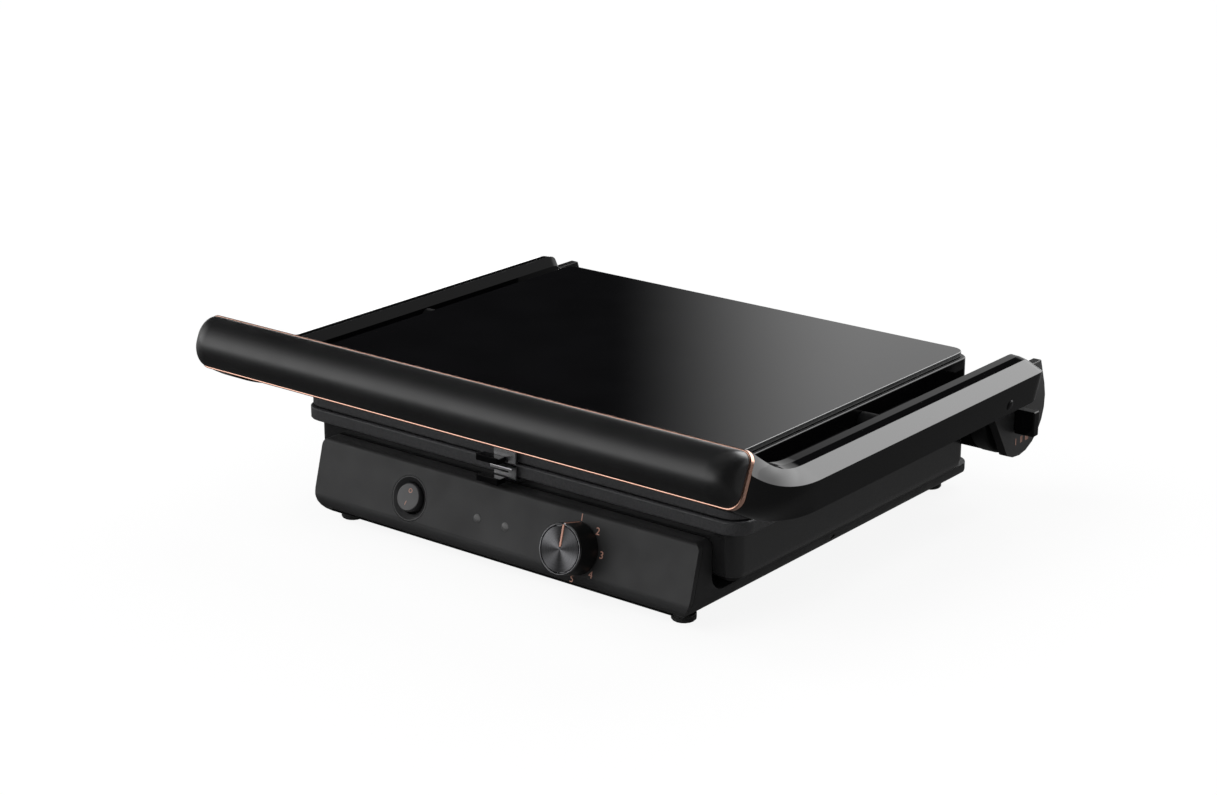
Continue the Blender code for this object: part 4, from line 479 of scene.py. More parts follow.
def arm_stations():
    """Centre, lean, blend and end turn of each section, from the rear end to the handle."""
    middle = HINGE.y - ARM_HEIGHT / 2 - ARM_REAR_LENGTH
    stations = []
    for i in range(ARM_END_STEPS, -1, -1):
        a = ARM_END_TURN * i / ARM_END_STEPS
        stations.append((middle + ARM_HEIGHT / 2 * math.sin(a), ARM_CENTRE_Z, 0.0, 0.0, a))
    end = handle_frame() @ Vector((0.0, 0.0, -SEAT_GAP))
    start = Vector((0.0, HANDLE_Y + ARM_NECK_LENGTH, ARM_CENTRE_Z))
    first = start + Vector((0.0, -ARM_NECK_LENGTH * ARM_NECK_OUT_SHARE, 0.0))
    second = end + Vector((0.0, ARM_NECK_LENGTH, -HANDLE_RISE * ARM_NECK_DIP_SHARE)) * ARM_NECK_IN_SHARE
    for i in range(ARM_NECK_STEPS + 1):
        t = i / ARM_NECK_STEPS
        u = 1 - t
        centre = start * u ** 3 + first * (3 * u * u * t) + second * (3 * u * t * t) + end * t ** 3
        blend = t * t * (3 - 2 * t)
        stations.append((centre.y, centre.z, HANDLE_TILT * blend, blend, 0.0))
    return stations


def handle_frame():
    return tilted_frame(HANDLE_Y, ARM_CENTRE_Z + HANDLE_RISE, HANDLE_TILT)


def rounding(turn, power):
    """From 1 to 0 along a quarter turn: a circle's quarter at power 2, and squarer above it."""
    return (1 - math.sin(turn) ** power) ** (1 / power)


def arm_rings():
    """Each section in space. At the rear end it closes, roundest below and squarest above."""
    rings = []
    for y, z, lean, blend, turn in arm_stations():
        under = rounding(turn, ARM_END_ROUND)
        over = rounding(turn, ARM_END_SQUARE)
        slim = 1 - ARM_END_CORNER * (1 - rounding(turn, ARM_END_BLUNT)) / ARM_WIDTH
        ring = []
        for x, n in arm_section(blend):
            share = over if n > 0 else under
            ring.append((ARM_INNER_X + x * slim, y + n * math.sin(lean), z + n * math.cos(lean) * share))
        rings.append(ring)
    return rings


def make_arm_solid():
    """The right arm, bevelled, with its round rear end, bracket pocket and pivot hole."""
    arm = loft("arm_blank", arm_rings())
    bevel = arm.modifiers.new("soft_edges", "BEVEL")
    bevel.width = ARM_BEVEL
    bevel.segments = ARM_BEVEL_SEGMENTS
    bevel.limit_method = "ANGLE"
    bevel.angle_limit = ARM_BEVEL_ANGLE
    pocket = box("arm_pocket",
                 (ARM_INNER_X - OVERRUN, HINGE.y - BRACKET_NOSE - RUN_GAP, ARM_CENTRE_Z - ARM_HEIGHT),
                 (BRACKET_OUTER_X + SEAT_GAP, HINGE.y + OVERRUN, BRACKET_TOP_Z + SEAT_GAP))
    hole = cylinder("arm_pivot_hole", PIVOT_PIN_DIAMETER + 2 * SEAT_GAP, -OVERRUN, PIVOT_PIN_BITE + RUN_GAP,
                    side_frame(ARM_INNER_X, PIVOT.y, PIVOT.z), PIVOT_HOLE_STEPS)
    combine(arm, pocket, "DIFFERENCE")
    combine(arm, hole, "DIFFERENCE")
    settle(arm)
    for tool in (pocket, hole):
        bpy.data.objects.remove(tool, do_unlink=True)
    return arm


def make_arm_bump(materials):
    """The small boss low on the right arm's outer side."""
    lean = math.atan2(ARM_UNDERCUT, ARM_HEIGHT - ARM_FACET_DROP)
    matrix = side_frame(*ARM_BUMP_PLACE) @ Matrix.Rotation(lean, 4, "Y")
    profile = [(out * ARM_BUMP_DIAMETER / 2, up * ARM_BUMP_RISE) for out, up in ARM_BUMP_SHARES]
    bump = turned("arm_bump", profile, matrix, ARM_BUMP_STEPS)
    dress(bump, materials["gloss_black"], "arms", "gloss_black")


def make_arms(materials):
    """Both arms, the left one mirrored from the right one."""
    blank = make_arm_solid()
    for name, side in (("arm_right", 1), ("arm_left", -1)):
        bm = bmesh.new()
        bm.from_mesh(blank.data)
        bmesh.ops.remove_doubles(bm, verts=bm.verts, dist=WELD)
        arm = object_from(name + "_soft", bm, Matrix.Diagonal((side, 1.0, 1.0, 1.0)), ARM_SMOOTH_ANGLE)
        soften(arm)
        dress(arm, materials["gloss_black"], "arms", SLOT_OF[name], name)
    bpy.data.objects.remove(blank, do_unlink=True)


def make_handle(materials):
    matrix = handle_frame()
    make_grip(materials, matrix)
    make_trim(materials, matrix)
    make_handle_back(materials, matrix)


def make_grip(materials, matrix):
    """The soft front half, rounded to a narrow flat at its nose."""
    nose = (HANDLE_HEIGHT - GRIP_NOSE_FLAT) / 2 - GRIP_STEP
    back = TRIM_THICKNESS + SEAT_GAP
    rings = []
    for i in range(GRIP_RINGS + 1):
        share = i / GRIP_RINGS
        a = math.pi / 2 * share
        inset = GRIP_STEP + nose * (1 - math.cos(a))
        tall = HANDLE_HEIGHT / 2 - inset
        upper, lower = (min((1 - share) * corner + share * tall, tall * GRIP_FULLEST_SHARE)
                        for corner in (HANDLE_UPPER_CORNER, HANDLE_LOWER_CORNER))
        w = back + GRIP_DEPTH * math.sin(a)
        rings.append([(u, v + GRIP_LIFT * (1 - share), w)
                      for u, v in handle_outline(HANDLE_LENGTH / 2 - inset, tall, upper, lower)])
    grip = loft("handle_grip_soft", rings, matrix)
    soften(grip)
    dress(grip, materials["soft_grip"], "arms", "soft_grip", "handle_grip")


def make_trim(materials, matrix):
    """The copper ring between the grip and the back half."""
    sections = (
        (TRIM_EDGE, 0.0), (0.0, TRIM_EDGE), (0.0, TRIM_THICKNESS - TRIM_EDGE), (TRIM_EDGE, TRIM_THICKNESS),
        (TRIM_BAND, TRIM_THICKNESS), (TRIM_BAND, 0.0),
    )
    rings = []
    for inset, w in sections:
        outline = handle_outline(HANDLE_LENGTH / 2 - inset, HANDLE_HEIGHT / 2 - inset,
                                 HANDLE_UPPER_CORNER - inset, HANDLE_LOWER_CORNER - inset)
        rings.append([(u, v, w) for u, v in outline])
    trim = loft("handle_trim_soft", rings, matrix, joined=True)
    soften(trim)
    dress(trim, materials["copper"], "arms", "copper", "handle_trim")


def make_handle_back(materials, matrix):
    """The bar behind the ring, its rear rounded over."""
    sections = [(BACK_INSET, -SEAT_GAP)]
    for i in range(BACK_RINGS + 1):
        a = math.pi / 2 * i / BACK_RINGS
        inset = BACK_INSET + BACK_EDGE * (1 - math.cos(a))
        sections.append((inset, BACK_EDGE * (1 - math.sin(a)) - BACK_DEPTH))
    rings = []
    for inset, w in sections:
        tall = HANDLE_HEIGHT / 2 - inset
        outline = handle_outline(ARM_INNER_X - SEAT_GAP, tall, BACK_CORNER, BACK_CORNER, BACK_CORNER_STEPS)
        rings.append([(u, v, w) for u, v in outline])
    back = loft("handle_back_soft", rings, matrix)
    soften(back)
    dress(back, materials["gloss_black"], "arms", "gloss_black", "handle_back")


def shader_nodes(name, colour, roughness, metallic=0.0, specular=0.5):
    """A Principled material with object coordinates ready for its textures."""
    material = bpy.data.materials.new(name)
    material.use_nodes = True
    tree = material.node_tree
    shader = tree.nodes["Principled BSDF"]
    shader.inputs["Base Color"].default_value = (*colour, 1.0)
    shader.inputs["Roughness"].default_value = roughness
    shader.inputs["Metallic"].default_value = metallic
    shader.inputs["Specular IOR Level"].default_value = specular
    place = tree.nodes.new("ShaderNodeTexCoord")
    return material, tree, shader, place.outputs["Object"]


def noise(tree, coordinates, scale, detail=2.0, stretch=None):
    """A noise texture's value, stretched along some directions if asked."""
    if stretch is not None:
        mapping = tree.nodes.new("ShaderNodeMapping")
        mapping.inputs["Scale"].default_value = stretch
        tree.links.new(coordinates, mapping.inputs["Vector"])
        coordinates = mapping.outputs["Vector"]
    texture = tree.nodes.new("ShaderNodeTexNoise")
    texture.inputs["Scale"].default_value = scale
    texture.inputs["Detail"].default_value = detail
    tree.links.new(coordinates, texture.inputs["Vector"])
    return texture.outputs["Fac"]


def spread(tree, value, low, high):
    """A texture's middle range mapped between two values."""
    node = tree.nodes.new("ShaderNodeMapRange")
    node.inputs["From Min"].default_value = NOISE_LOW
    node.inputs["From Max"].default_value = NOISE_HIGH
    node.inputs["To Min"].default_value = low
    node.inputs["To Max"].default_value = high
    tree.links.new(value, node.inputs["Value"])
    return node.outputs["Result"]


def vary_colour(tree, shader, value, colour, low, high):
    """The base colour, darker and lighter by shares that follow a texture."""
    ramp = tree.nodes.new("ShaderNodeMix")
    ramp.data_type = "RGBA"
    ramp.inputs["A"].default_value = (*(channel * low for channel in colour), 1.0)
    ramp.inputs["B"].default_value = (*(channel * high for channel in colour), 1.0)
    tree.links.new(spread(tree, value, 0.0, 1.0), ramp.inputs["Factor"])
    tree.links.new(ramp.outputs["Result"], shader.inputs["Base Color"])


def add_bump(tree, shader, value, strength, distance):
    bump = tree.nodes.new("ShaderNodeBump")
    bump.inputs["Strength"].default_value = strength
    bump.inputs["Distance"].default_value = distance
    tree.links.new(value, bump.inputs["Height"])
    tree.links.new(bump.outputs["Normal"], shader.inputs["Normal"])


def moulded(name, colour, roughness, specular, grain, depth, wear=0.06):
    """Plastic, rubber, ceramic or print with a fine grain and a slightly uneven finish."""
    material, tree, shader, place = shader_nodes(name, colour, roughness, 0.0, specular)
    clouds = noise(tree, place, scale=24.0, detail=4.0)
    vary_colour(tree, shader, clouds, colour, low=0.88, high=1.14)
    patches = noise(tree, place, scale=60.0, detail=5.0)
    tree.links.new(spread(tree, patches, roughness - wear, roughness + wear), shader.inputs["Roughness"])
    add_bump(tree, shader, noise(tree, place, scale=grain, detail=3.0), strength=0.35, distance=depth)
    return material


def brushed(name, colour, roughness, stretch, depth):
    """Metal with fine lines along one direction."""
    material, tree, shader, place = shader_nodes(name, colour, roughness, 1.0)
    lines = noise(tree, place, scale=7000.0, detail=2.0, stretch=stretch)
    vary_colour(tree, shader, lines, colour, low=0.93, high=1.04)
    rough = spread(tree, lines, low=roughness - 0.04, high=roughness + 0.05)
    tree.links.new(rough, shader.inputs["Roughness"])
    add_bump(tree, shader, lines, strength=0.10, distance=depth)
    return material


def spun_metal():
    """The dial's face: rings turned round its axis, with highlight fans painted into its base colour round the
    axis.
    """
    material, tree, shader, place = shader_nodes("knob_metal_look", FACE_COLOUR, 0.30, 1.0)
    away = vector_node(tree, "SUBTRACT", place, DIAL)
    across = vector_node(tree, "CROSS_PRODUCT", away.outputs["Vector"], PANEL_OUT).outputs["Vector"]
    length = vector_node(tree, "LENGTH", across)
    texture = tree.nodes.new("ShaderNodeTexNoise")
    texture.noise_dimensions = "1D"
    texture.inputs["Scale"].default_value = FACE_RINGS
    texture.inputs["Detail"].default_value = 3.0
    tree.links.new(length.outputs["Value"], texture.inputs["W"])
    rings = texture.outputs["Fac"]
    # Painted highlight: the fans brighten the base colour at some turns round the axis and darken it at others, on
    # top of the rings' grain.
    rings_and_painted_fans = math_node(tree, "MULTIPLY_ADD", rings, FACE_RING_SHARE, turning_fans(tree, across))
    vary_colour(tree, shader, rings_and_painted_fans, FACE_COLOUR, low=0.30, high=2.3)
    tree.links.new(spread(tree, rings, low=0.22, high=0.42), shader.inputs["Roughness"])
    add_bump(tree, shader, rings, strength=0.5, distance=0.02 * MM)
    shader.inputs["Anisotropic"].default_value = 0.9
    shader.inputs["Anisotropic Rotation"].default_value = 0.25
    tangent = vector_node(tree, "NORMALIZE", across)
    tree.links.new(tangent.outputs["Vector"], shader.inputs["Tangent"])
    return material


def turning_fans(tree, across):
    """Around the dial's axis, painted highlight fans: the level that the base colour follows."""
    sideways = Vector((1.0, 0.0, 0.0))
    split = vector_node(tree, "DOT_PRODUCT", across, sideways)
    rise = vector_node(tree, "DOT_PRODUCT", across, PANEL_OUT.cross(sideways))
    angle = math_node(tree, "ARCTAN2", split.outputs["Value"], rise.outputs["Value"])
    total = PAINTED_FAN_LEVEL
    for count, phase, share in PAINTED_FANS:
        turn = math_node(tree, "MULTIPLY_ADD", angle, float(count), phase)
        wave = math_node(tree, "MULTIPLY", math_node(tree, "COSINE", turn), share)
        total = math_node(tree, "ADD", wave, total)
    return total


def cast_coating():
    """The plates' non-stick coat: a matt grain with small pale flecks."""
    colour = (0.040, 0.040, 0.042)
    material, tree, shader, place = shader_nodes("plate_coating_look", colour, 0.5, 0.0, 0.45)
    grain = noise(tree, place, scale=1500.0, detail=6.0)
    vary_colour(tree, shader, grain, colour, low=0.65, high=1.5)
    patches = noise(tree, place, scale=300.0, detail=4.0)
    tree.links.new(spread(tree, patches, low=0.40, high=0.62), shader.inputs["Roughness"])
    add_bump(tree, shader, grain, strength=0.55, distance=0.12 * MM)
    return material


def polished(name, colour, roughness, specular, depth):
    """A gloss surface with a faint waviness and a little haze."""
    material, tree, shader, place = shader_nodes(name, colour, roughness, 0.0, specular)
    clouds = noise(tree, place, scale=18.0, detail=3.0)
    vary_colour(tree, shader, clouds, colour, low=0.85, high=1.2)
    haze = noise(tree, place, scale=35.0, detail=6.0)
    rough = spread(tree, haze, low=roughness * 0.75, high=roughness * 1.35)
    tree.links.new(rough, shader.inputs["Roughness"])
    waves = noise(tree, place, scale=110.0, detail=2.0)
    add_bump(tree, shader, waves, strength=0.12, distance=depth)
    return material


def make_materials():
    """Every look by name: its colour and roughness, then the values that its kind of surface takes."""
    return {
        "body_grey": moulded("body_grey_look", (0.023, 0.023, 0.0235), 0.50, 0.30, 1700.0, 0.05 * MM),
        "gloss_black": polished("gloss_black_look", (0.0035, 0.0035, 0.0038), 0.04, 0.14, 0.004 * MM),
        "lower_black": polished("lower_black_look", (0.016, 0.016, 0.0165), 0.16, 0.7, 0.004 * MM),
        "switch_rim": moulded("switch_rim_look", (0.022, 0.022, 0.0225), 0.40, 0.45, 2600.0, 0.01 * MM),
        "hinge_black": moulded("hinge_black_look", (0.004, 0.004, 0.0042), 0.45, 0.10, 2000.0, 0.02 * MM),
        "knob_black": moulded("knob_black_look", (0.008, 0.008, 0.0083), 0.34, 0.40, 2600.0, 0.008 * MM),
        "knob_rim": brushed("knob_rim_look", (0.30, 0.30, 0.31), 0.28, (1.0, 1.0, 1.0), 0.004 * MM),
        "switch_black": moulded("switch_black_look", (0.030, 0.030, 0.031), 0.34, 0.45, 2600.0, 0.01 * MM),
        "soft_grip": moulded("soft_grip_look", (0.0085, 0.0085, 0.0088), 0.36, 0.50, 2200.0, 0.03 * MM, 0.03),
        "hinge_grey": moulded("hinge_grey_look", (0.026, 0.026, 0.0265), 0.33, 0.55, 1300.0, 0.03 * MM),
        "black_glass": polished("black_glass_look", (0.0035, 0.0035, 0.004), 0.05, 0.5, 0.004 * MM),
        "glass_edge": moulded("glass_edge_look", (0.085, 0.088, 0.088), 0.30, 0.5, 2600.0, 0.02 * MM),
        "plate_coating": cast_coating(),
        "copper": brushed("copper_look", (0.86, 0.50, 0.38), 0.26, (0.02, 1.0, 1.0), 0.01 * MM),
        "steel": brushed("steel_look", (0.66, 0.66, 0.67), 0.30, (0.2, 1.0, 1.0), 0.003 * MM),
        "knob_metal": spun_metal(),
        "lens_grey": moulded("lens_grey_look", (0.060, 0.060, 0.060), 0.34, 0.4, 900.0, 0.01 * MM),
        "rubber": moulded("rubber_look", (0.018, 0.018, 0.018), 0.66, 0.3, 900.0, 0.12 * MM),
        "ceramic": moulded("ceramic_look", (0.72, 0.69, 0.62), 0.55, 0.4, 700.0, 0.06 * MM),
        "board_green": circuit_board(),
        "print_copper": moulded("print_copper_look", (0.62, 0.33, 0.25), 0.45, 0.4, 3000.0, 0.01 * MM),
    }


def circuit_board():
    """Solder mask over tracks."""
    colour = (0.02, 0.13, 0.05)
    material, tree, shader, place = shader_nodes("board_green_look", colour, 0.35)
    cells = tree.nodes.new("ShaderNodeTexBrick")
    cells.inputs["Scale"].default_value = 260.0
    cells.inputs["Color1"].default_value = (*colour, 1.0)
    cells.inputs["Color2"].default_value = (0.02, 0.16, 0.06, 1.0)
    cells.inputs["Mortar"].default_value = (0.05, 0.26, 0.10, 1.0)
    tree.links.new(place, cells.inputs["Vector"])
    tree.links.new(cells.outputs["Color"], shader.inputs["Base Color"])
    add_bump(tree, shader, noise(tree, place, scale=900.0), strength=0.2, distance=0.02 * MM)
    return material


def make_camera():
    """The photograph's view."""
    data = bpy.data.cameras.new("photo_camera")
    data.sensor_width = SENSOR_WIDTH
    data.lens = FOCAL_PIXELS / PHOTO_WIDTH * SENSOR_WIDTH
    data.clip_start = CAMERA_NEAR
    data.clip_end = CAMERA_FAR
    camera = bpy.data.objects.new("photo_camera", data)
    bpy.context.scene.collection.objects.link(camera)
    forward = Vector((-math.sin(CAMERA_YAW) * math.cos(CAMERA_PITCH),
                      math.cos(CAMERA_YAW) * math.cos(CAMERA_PITCH), -math.sin(CAMERA_PITCH)))
    right = Vector((math.cos(CAMERA_YAW), math.sin(CAMERA_YAW), 0.0))
    up = right.cross(forward)
    matrix = Matrix((right, up, -forward)).transposed().to_4x4()
    matrix.translation = Vector(CAMERA_PLACE)
    camera.matrix_world = matrix
    bpy.context.scene.camera = camera


def make_floor():
    bm = bmesh.new()
    bmesh.ops.create_circle(bm, cap_ends=True, segments=FLOOR_STEPS, radius=FLOOR_RADIUS)
    floor = object_from("floor", bm)
    floor.data.materials.append(floor_material())


def floor_material():
    """White to the camera, with the object's soft shadow on it, and darker in the object's gloss."""
    material = bpy.data.materials.new("floor_look")
    material.use_nodes = True
    tree = material.node_tree
    tree.nodes.clear()
    output = tree.nodes.new("ShaderNodeOutputMaterial")
    mix = tree.nodes.new("ShaderNodeMixShader")
    paint = tree.nodes.new("ShaderNodeBsdfDiffuse")
    paint.inputs["Color"].default_value = FLOOR_PAINT
    glow = tree.nodes.new("ShaderNodeEmission")
    path = tree.nodes.new("ShaderNodeLightPath")
    level = tree.nodes.new("ShaderNodeMix")
    level.inputs["A"].default_value = FLOOR_GLOW
    tree.links.new(path.outputs["Is Glossy Ray"], level.inputs["Factor"])
    tree.links.new(floor_gloss(tree), level.inputs["B"])
    tree.links.new(level.outputs["Result"], glow.inputs["Strength"])
    seen = math_node(tree, "MAXIMUM", path.outputs["Is Camera Ray"], path.outputs["Is Transmission Ray"])
    seen = math_node(tree, "MULTIPLY", seen, FLOOR_CAMERA_SHARE)
    seen = math_node(tree, "MAXIMUM", seen, path.outputs["Is Glossy Ray"])
    tree.links.new(seen, mix.inputs["Fac"])
    tree.links.new(paint.outputs["BSDF"], mix.inputs[1])
    tree.links.new(glow.outputs["Emission"], mix.inputs[2])
    tree.links.new(mix.outputs["Shader"], output.inputs["Surface"])
    return material


def floor_gloss(tree):
    """How bright the floor is in the object's gloss, from place to place."""
    place = tree.nodes.new("ShaderNodeTexCoord").outputs["Object"]
    level = FLOOR_GLOSS_DIM
    bright = (FLOOR_GLOSS_BRIGHT - FLOOR_GLOSS_DIM, FLOOR_BRIGHT_SIDE, FLOOR_BRIGHT_EDGE)
    for strength, direction, edge in (bright, *FLOOR_STRETCHES):
        part = math_node(tree, "MULTIPLY", soft_step(tree, place, direction, *edge), strength)
        level = math_node(tree, "ADD", level, part)
    return level


def soft_step(tree, place, towards, low, high):
    """0 to 1 as a vector's part along a direction goes from a low to a high value."""
    dot = vector_node(tree, "DOT_PRODUCT", place, Vector(towards).normalized())
    step = tree.nodes.new("ShaderNodeMapRange")
    step.interpolation_type = "SMOOTHSTEP"
    step.inputs["From Min"].default_value = low
    step.inputs["From Max"].default_value = high
    tree.links.new(dot.outputs["Value"], step.inputs["Value"])
    return step.outputs["Result"]


def vector_node(tree, operation, first, second=None):
    """A vector calculation on a socket and, where it takes one, a fixed vector."""
    node = tree.nodes.new("ShaderNodeVectorMath")
    node.operation = operation
    tree.links.new(first, node.inputs[0])
    if second is not None:
        node.inputs[1].default_value = second
    return node


def math_node(tree, operation, *values):
    """A calculation on numbers and sockets, in their order."""
    node = tree.nodes.new("ShaderNodeMath")
    node.operation = operation
    for socket, value in zip(node.inputs, values):
        if isinstance(value, float):
            socket.default_value = value
        else:
            tree.links.new(value, socket)
    return node.outputs["Value"]


def make_world():
    """White to the camera, an even grey to the object's colours, and soft boxes in its gloss."""
    world = bpy.data.worlds.new("studio")
    bpy.context.scene.world = world
    world.use_nodes = True
    tree = world.node_tree
    background = tree.nodes["Background"]
    background.inputs["Color"].default_value = (1.0, 1.0, 1.0, 1.0)
    place = tree.nodes.new("ShaderNodeTexCoord").outputs["Generated"]
    total = GLOSS_AMBIENT
    for strength, steps in GLOSS_LIGHTS:
        value = strength
        for step in steps:
            value = math_node(tree, "MULTIPLY", value, soft_step(tree, place, *step))
        total = math_node(tree, "ADD", total, value)
    path = tree.nodes.new("ShaderNodeLightPath")
    gloss = tree.nodes.new("ShaderNodeMix")
    gloss.inputs["A"].default_value = DIFFUSE_LEVEL
    tree.links.new(path.outputs["Is Glossy Ray"], gloss.inputs["Factor"])
    tree.links.new(total, gloss.inputs["B"])
    seen = tree.nodes.new("ShaderNodeMix")
    seen.inputs["B"].default_value = 1.0
    tree.links.new(path.outputs["Is Camera Ray"], seen.inputs["Factor"])
    tree.links.new(gloss.outputs["Result"], seen.inputs["A"])
    tree.links.new(seen.outputs["Result"], background.inputs["Strength"])


def make_lamps():
    """Broad, soft, far lights, each shining from a direction. What gloss sees of them is the world's."""
    for name, direction, strength in LAMPS:
        data = bpy.data.lights.new(name, "SUN")
        data.angle = LAMP_ANGLE
        data.energy = strength
        lamp = bpy.data.objects.new(name, data)
        bpy.context.scene.collection.objects.link(lamp)
        lamp.location = Vector(direction).normalized() * LAMP_DISTANCE
        lamp.rotation_euler = Vector(direction).to_track_quat("Z", "Y").to_euler()
        lamp.visible_glossy = False


def text_piece(name, body, height, matrix, material, owner, slot):
    """A printed figure, as a thin raised film."""
    curve = bpy.data.curves.new(name, "FONT")
    curve.body = body
    curve.size = height / CAPITAL_SHARE
    curve.align_x = "CENTER"
    curve.align_y = "CENTER"
    curve.extrude = PRINT_THICKNESS / 2
    item = bpy.data.objects.new(name + "_curve", curve)
    bpy.context.scene.collection.objects.link(item)
    bpy.context.view_layer.update()
    mesh = bpy.data.meshes.new_from_object(item.evaluated_get(bpy.context.evaluated_depsgraph_get()))
    bpy.data.objects.remove(item, do_unlink=True)
    bm = bmesh.new()
    bm.from_mesh(mesh)
    bpy.data.meshes.remove(mesh)
    bmesh.ops.remove_doubles(bm, verts=bm.verts, dist=WELD)
    dress(object_from(name, bm, matrix), material, owner, slot)


def make_prints(materials):
    """The figures round the dial, and the height marks on the right bracket's outer face."""
    lift = PRINT_THICKNESS / 2 - PRINT_BITE
    for digit, angle in enumerate(DIGIT_ANGLES, start=1):
        a = math.radians(angle)
        spot = Matrix.Translation((DIGIT_RADIUS * math.sin(a), DIGIT_RADIUS * math.cos(a), lift))
        text_piece(f"dial_figure_{digit}", str(digit), DIGIT_HEIGHT, panel_frame(DIAL.x) @ spot,
                   materials["print_copper"], "base", "copper")
    side = Matrix(((0.0, 0.0, 1.0, BRACKET_OUTER_X), (1.0, 0.0, 0.0, 0.0), (0.0, 1.0, 0.0, 0.0),
                   (0.0, 0.0, 0.0, 1.0)))
    for y, count in MARK_PLACES:
        for i in range(count):
            middle = y + (i - (count - 1) / 2) * MARK_PITCH
            points = [(middle - MARK_STROKE / 2, MARK_Z - MARK_HEIGHT / 2),
                      (middle + MARK_STROKE / 2, MARK_Z - MARK_HEIGHT / 2),
                      (middle + MARK_STROKE / 2, MARK_Z + MARK_HEIGHT / 2),
                      (middle - MARK_STROKE / 2, MARK_Z + MARK_HEIGHT / 2)]
            mark = prism(f"height_mark_{count}_{i + 1}", points, -PRINT_BITE, PRINT_THICKNESS, side)
            dress(mark, materials["print_copper"], "arms", "copper")


def millimetres(points):
    """Pairs given in millimetres, as metres."""
    return [(first * MM, second * MM) for first, second in points]


def make_rocker(materials):
    """A round rocker, its upper half pressed in, with a ring and a bar printed on it."""
    tilt = Matrix.Rotation(-ROCKER_TILT, 4, "X")
    depth = (ROCKER_PIVOT - DIAL).dot(PANEL_OUT)
    matrix = panel_frame(ROCKER_PIVOT.x) @ Matrix.Translation((0.0, 0.0, depth)) @ tilt
    rocker = turned("rocker_button_soft", millimetres(ROCKER_PROFILE), matrix, ROCKER_STEPS)
    soften(rocker)
    dress(rocker, materials["switch_black"], "rocker", "gloss_black", "rocker_button")
    marks = matrix @ Matrix.Rotation(ROCKER_MARK_TURN, 4, "Z")
    for name, body, side in (("rocker_mark_off", "O", 1), ("rocker_mark_on", "I", -1)):
        spot = marks @ Matrix.Translation((0.0, side * ROCKER_MARK_PLACE, ROCKER_FACE))
        text_piece(name, body, ROCKER_MARK_HEIGHT, spot, materials["print_copper"], "rocker", "copper")


def make_indicators(materials):
    """The two lamps' lenses, as low domes."""
    for node, x in LAMP_X.items():
        lens = turned(node + "_soft", millimetres(LAMP_PROFILE), panel_frame(x), LAMP_STEPS)
        soften(lens)
        dress(lens, materials["lens_grey"], "base", SLOT_OF[node], node)


def make_knob(materials):
    """The dial's body with a turned rim, and the pointer's line running on down its side."""
    matrix = panel_frame(DIAL.x)
    body = object_from("knob_body_soft", node_bmesh("knob_body"))
    back = matrix.inverted()
    soften(body, KNOB_EDGE)
    dress(body, materials["knob_black"], "knob", SLOT_OF["knob_body"], "knob_body")
    body.data.materials.append(materials["knob_rim"])
    for face in body.data.polygons:
        spots = [back @ body.data.vertices[i].co for i in face.vertices]
        lowest = min(spot.z for spot in spots)
        nearest = min(spot.xy.length for spot in spots)
        if lowest > KNOB_RIM_HEIGHT and nearest > KNOB_RIM_RADIUS:
            face.material_index = 1
    half = KNOB_LINE_WIDTH / 2
    rings = []
    for radius, w in millimetres(KNOB_LINE):
        rings.append([(-half, radius - PRINT_THICKNESS, w), (half, radius - PRINT_THICKNESS, w),
                      (half, radius, w), (-half, radius, w)])
    line = loft("knob_side_line", rings, matrix)
    dress(line, materials["print_copper"], "knob", "copper")


def make_brackets(materials):
    """The brackets' faces are satin, their edges and the side towards the tower black."""
    for name, side in (("arm_bracket_right", 1), ("arm_bracket_left", -1)):
        bracket = object_from(name + "_soft", node_bmesh(name))
        soften(bracket, BRACKET_EDGE)
        dress(bracket, materials["hinge_black"], "arms", SLOT_OF[name], name)
        bracket.data.materials.append(materials["hinge_grey"])
        for face in bracket.data.polygons:
            if face.normal.x * side > FACING_SHARE:
                face.material_index = 1


def make_lid_housing(materials):
    """The lid's tub, its upper rim rounded over beside the glass."""
    bm = node_bmesh("lid_housing")
    bmesh.ops.recalc_face_normals(bm, faces=bm.faces)
    top = max(vertex.co.z for vertex in bm.verts)
    middle = sum((vertex.co for vertex in bm.verts), Vector()) / len(bm.verts)
    rim = []
    for edge in bm.edges:
        if len(edge.link_faces) != 2 or min(vertex.co.z for vertex in edge.verts) < top - WELD:
            continue
        outward = edge.verts[0].co - middle
        walls = [face for face in edge.link_faces if abs(face.normal.z) < FACING_SHARE]
        if any(face.normal.dot(outward) > 0 for face in walls):
            rim.append(edge)
    bmesh.ops.bevel(bm, geom=rim, offset=LID_RIM_RADIUS, offset_type="OFFSET", segments=LID_RIM_SEGMENTS,
                    profile=ROUND_PROFILE, affect="EDGES", clamp_overlap=False)
    lid = object_from("lid_housing_soft", bm)
    soften(lid)
    dress(lid, materials["gloss_black"], "lid", SLOT_OF["lid_housing"], "lid_housing")


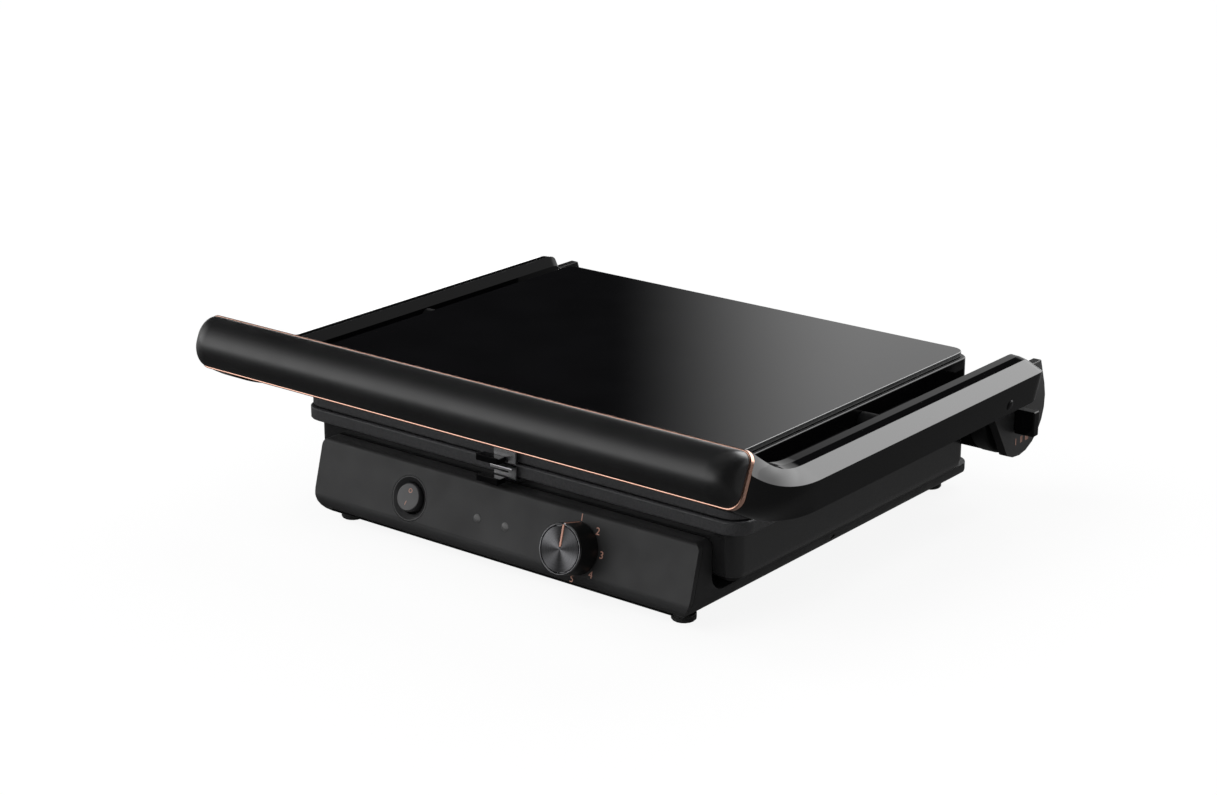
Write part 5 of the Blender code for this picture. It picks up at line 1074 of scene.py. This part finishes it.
def make_glass(materials):
    """The lid's glass, with a ground edge that is paler than its polished top."""
    glass = object_from("lid_glass_soft", node_bmesh("lid_glass"))
    soften(glass)
    dress(glass, materials["black_glass"], "lid", "black_glass", "lid_glass")
    glass.data.materials.append(materials["glass_edge"])
    for face in glass.data.polygons:
        if abs(face.normal.z) < FACING_SHARE:
            face.material_index = 1


def make_refined(materials):
    """The nodes that only need softer edges and a look."""
    for node, (width, look) in EDGE_WIDTHS.items():
        refined(node, materials[look], width * MM)


def make_lower_housing(materials):
    """The tub below the plates: satin sides, and painted shade on its rounded bottom edge, whose downward faces
    get a black material.
    """
    housing = refined("lower_housing", materials["lower_black"], HOUSING_EDGE)
    housing.data.materials.append(materials["hinge_black"])
    # Painted shade: faces that point downwards beyond HOUSING_SHADE take the black hinge material.
    for face in housing.data.polygons:
        if face.normal.z < HOUSING_SHADE:
            face.material_index = 1


def make_plates(materials):
    """The cooking plates: their rims are softened, and the ribs keep their own edges."""
    for node in ("lower_plate", "upper_plate"):
        bm = node_bmesh(node)
        bm.normal_update()
        spots = [vertex.co for vertex in bm.verts]
        low = [min(spot[i] for spot in spots) + PLATE_RIM for i in range(2)]
        high = [max(spot[i] for spot in spots) - PLATE_RIM for i in range(2)]
        weight = bm.edges.layers.float.new("bevel_weight_edge")
        for edge in bm.edges:
            inner = [all(low[i] < vertex.co[i] < high[i] for i in range(2)) for vertex in edge.verts]
            edge[weight] = float(not any(inner) and edge.calc_face_angle(0.0) > BEVEL_ANGLE)
        item = soften(object_from(node + "_soft", bm), PLATE_EDGE)
        item.modifiers["soft_edges"].limit_method = "WEIGHT"
        dress(item, materials["plate_coating"], BODY_OF[node], SLOT_OF[node], node)


def dress_hidden_nodes(materials):
    """The inner pieces keep their CAD shapes and get the same materials."""
    for name, node in frame["nodes"].items():
        if not node.hide_render:
            node.data.materials.clear()
            node.data.materials.append(materials[SLOT_OF[name]])


def main():
    bpy.context.scene.view_settings.view_transform = "Standard"
    make_camera()
    make_world()
    make_lamps()
    make_floor()
    materials = make_materials()
    make_refined(materials)
    make_lower_housing(materials)
    make_plates(materials)
    make_glass(materials)
    make_lid_housing(materials)
    make_brackets(materials)
    make_rocker(materials)
    make_indicators(materials)
    make_knob(materials)
    make_arms(materials)
    make_arm_bump(materials)
    make_handle(materials)
    make_prints(materials)
    dress_hidden_nodes(materials)


main()
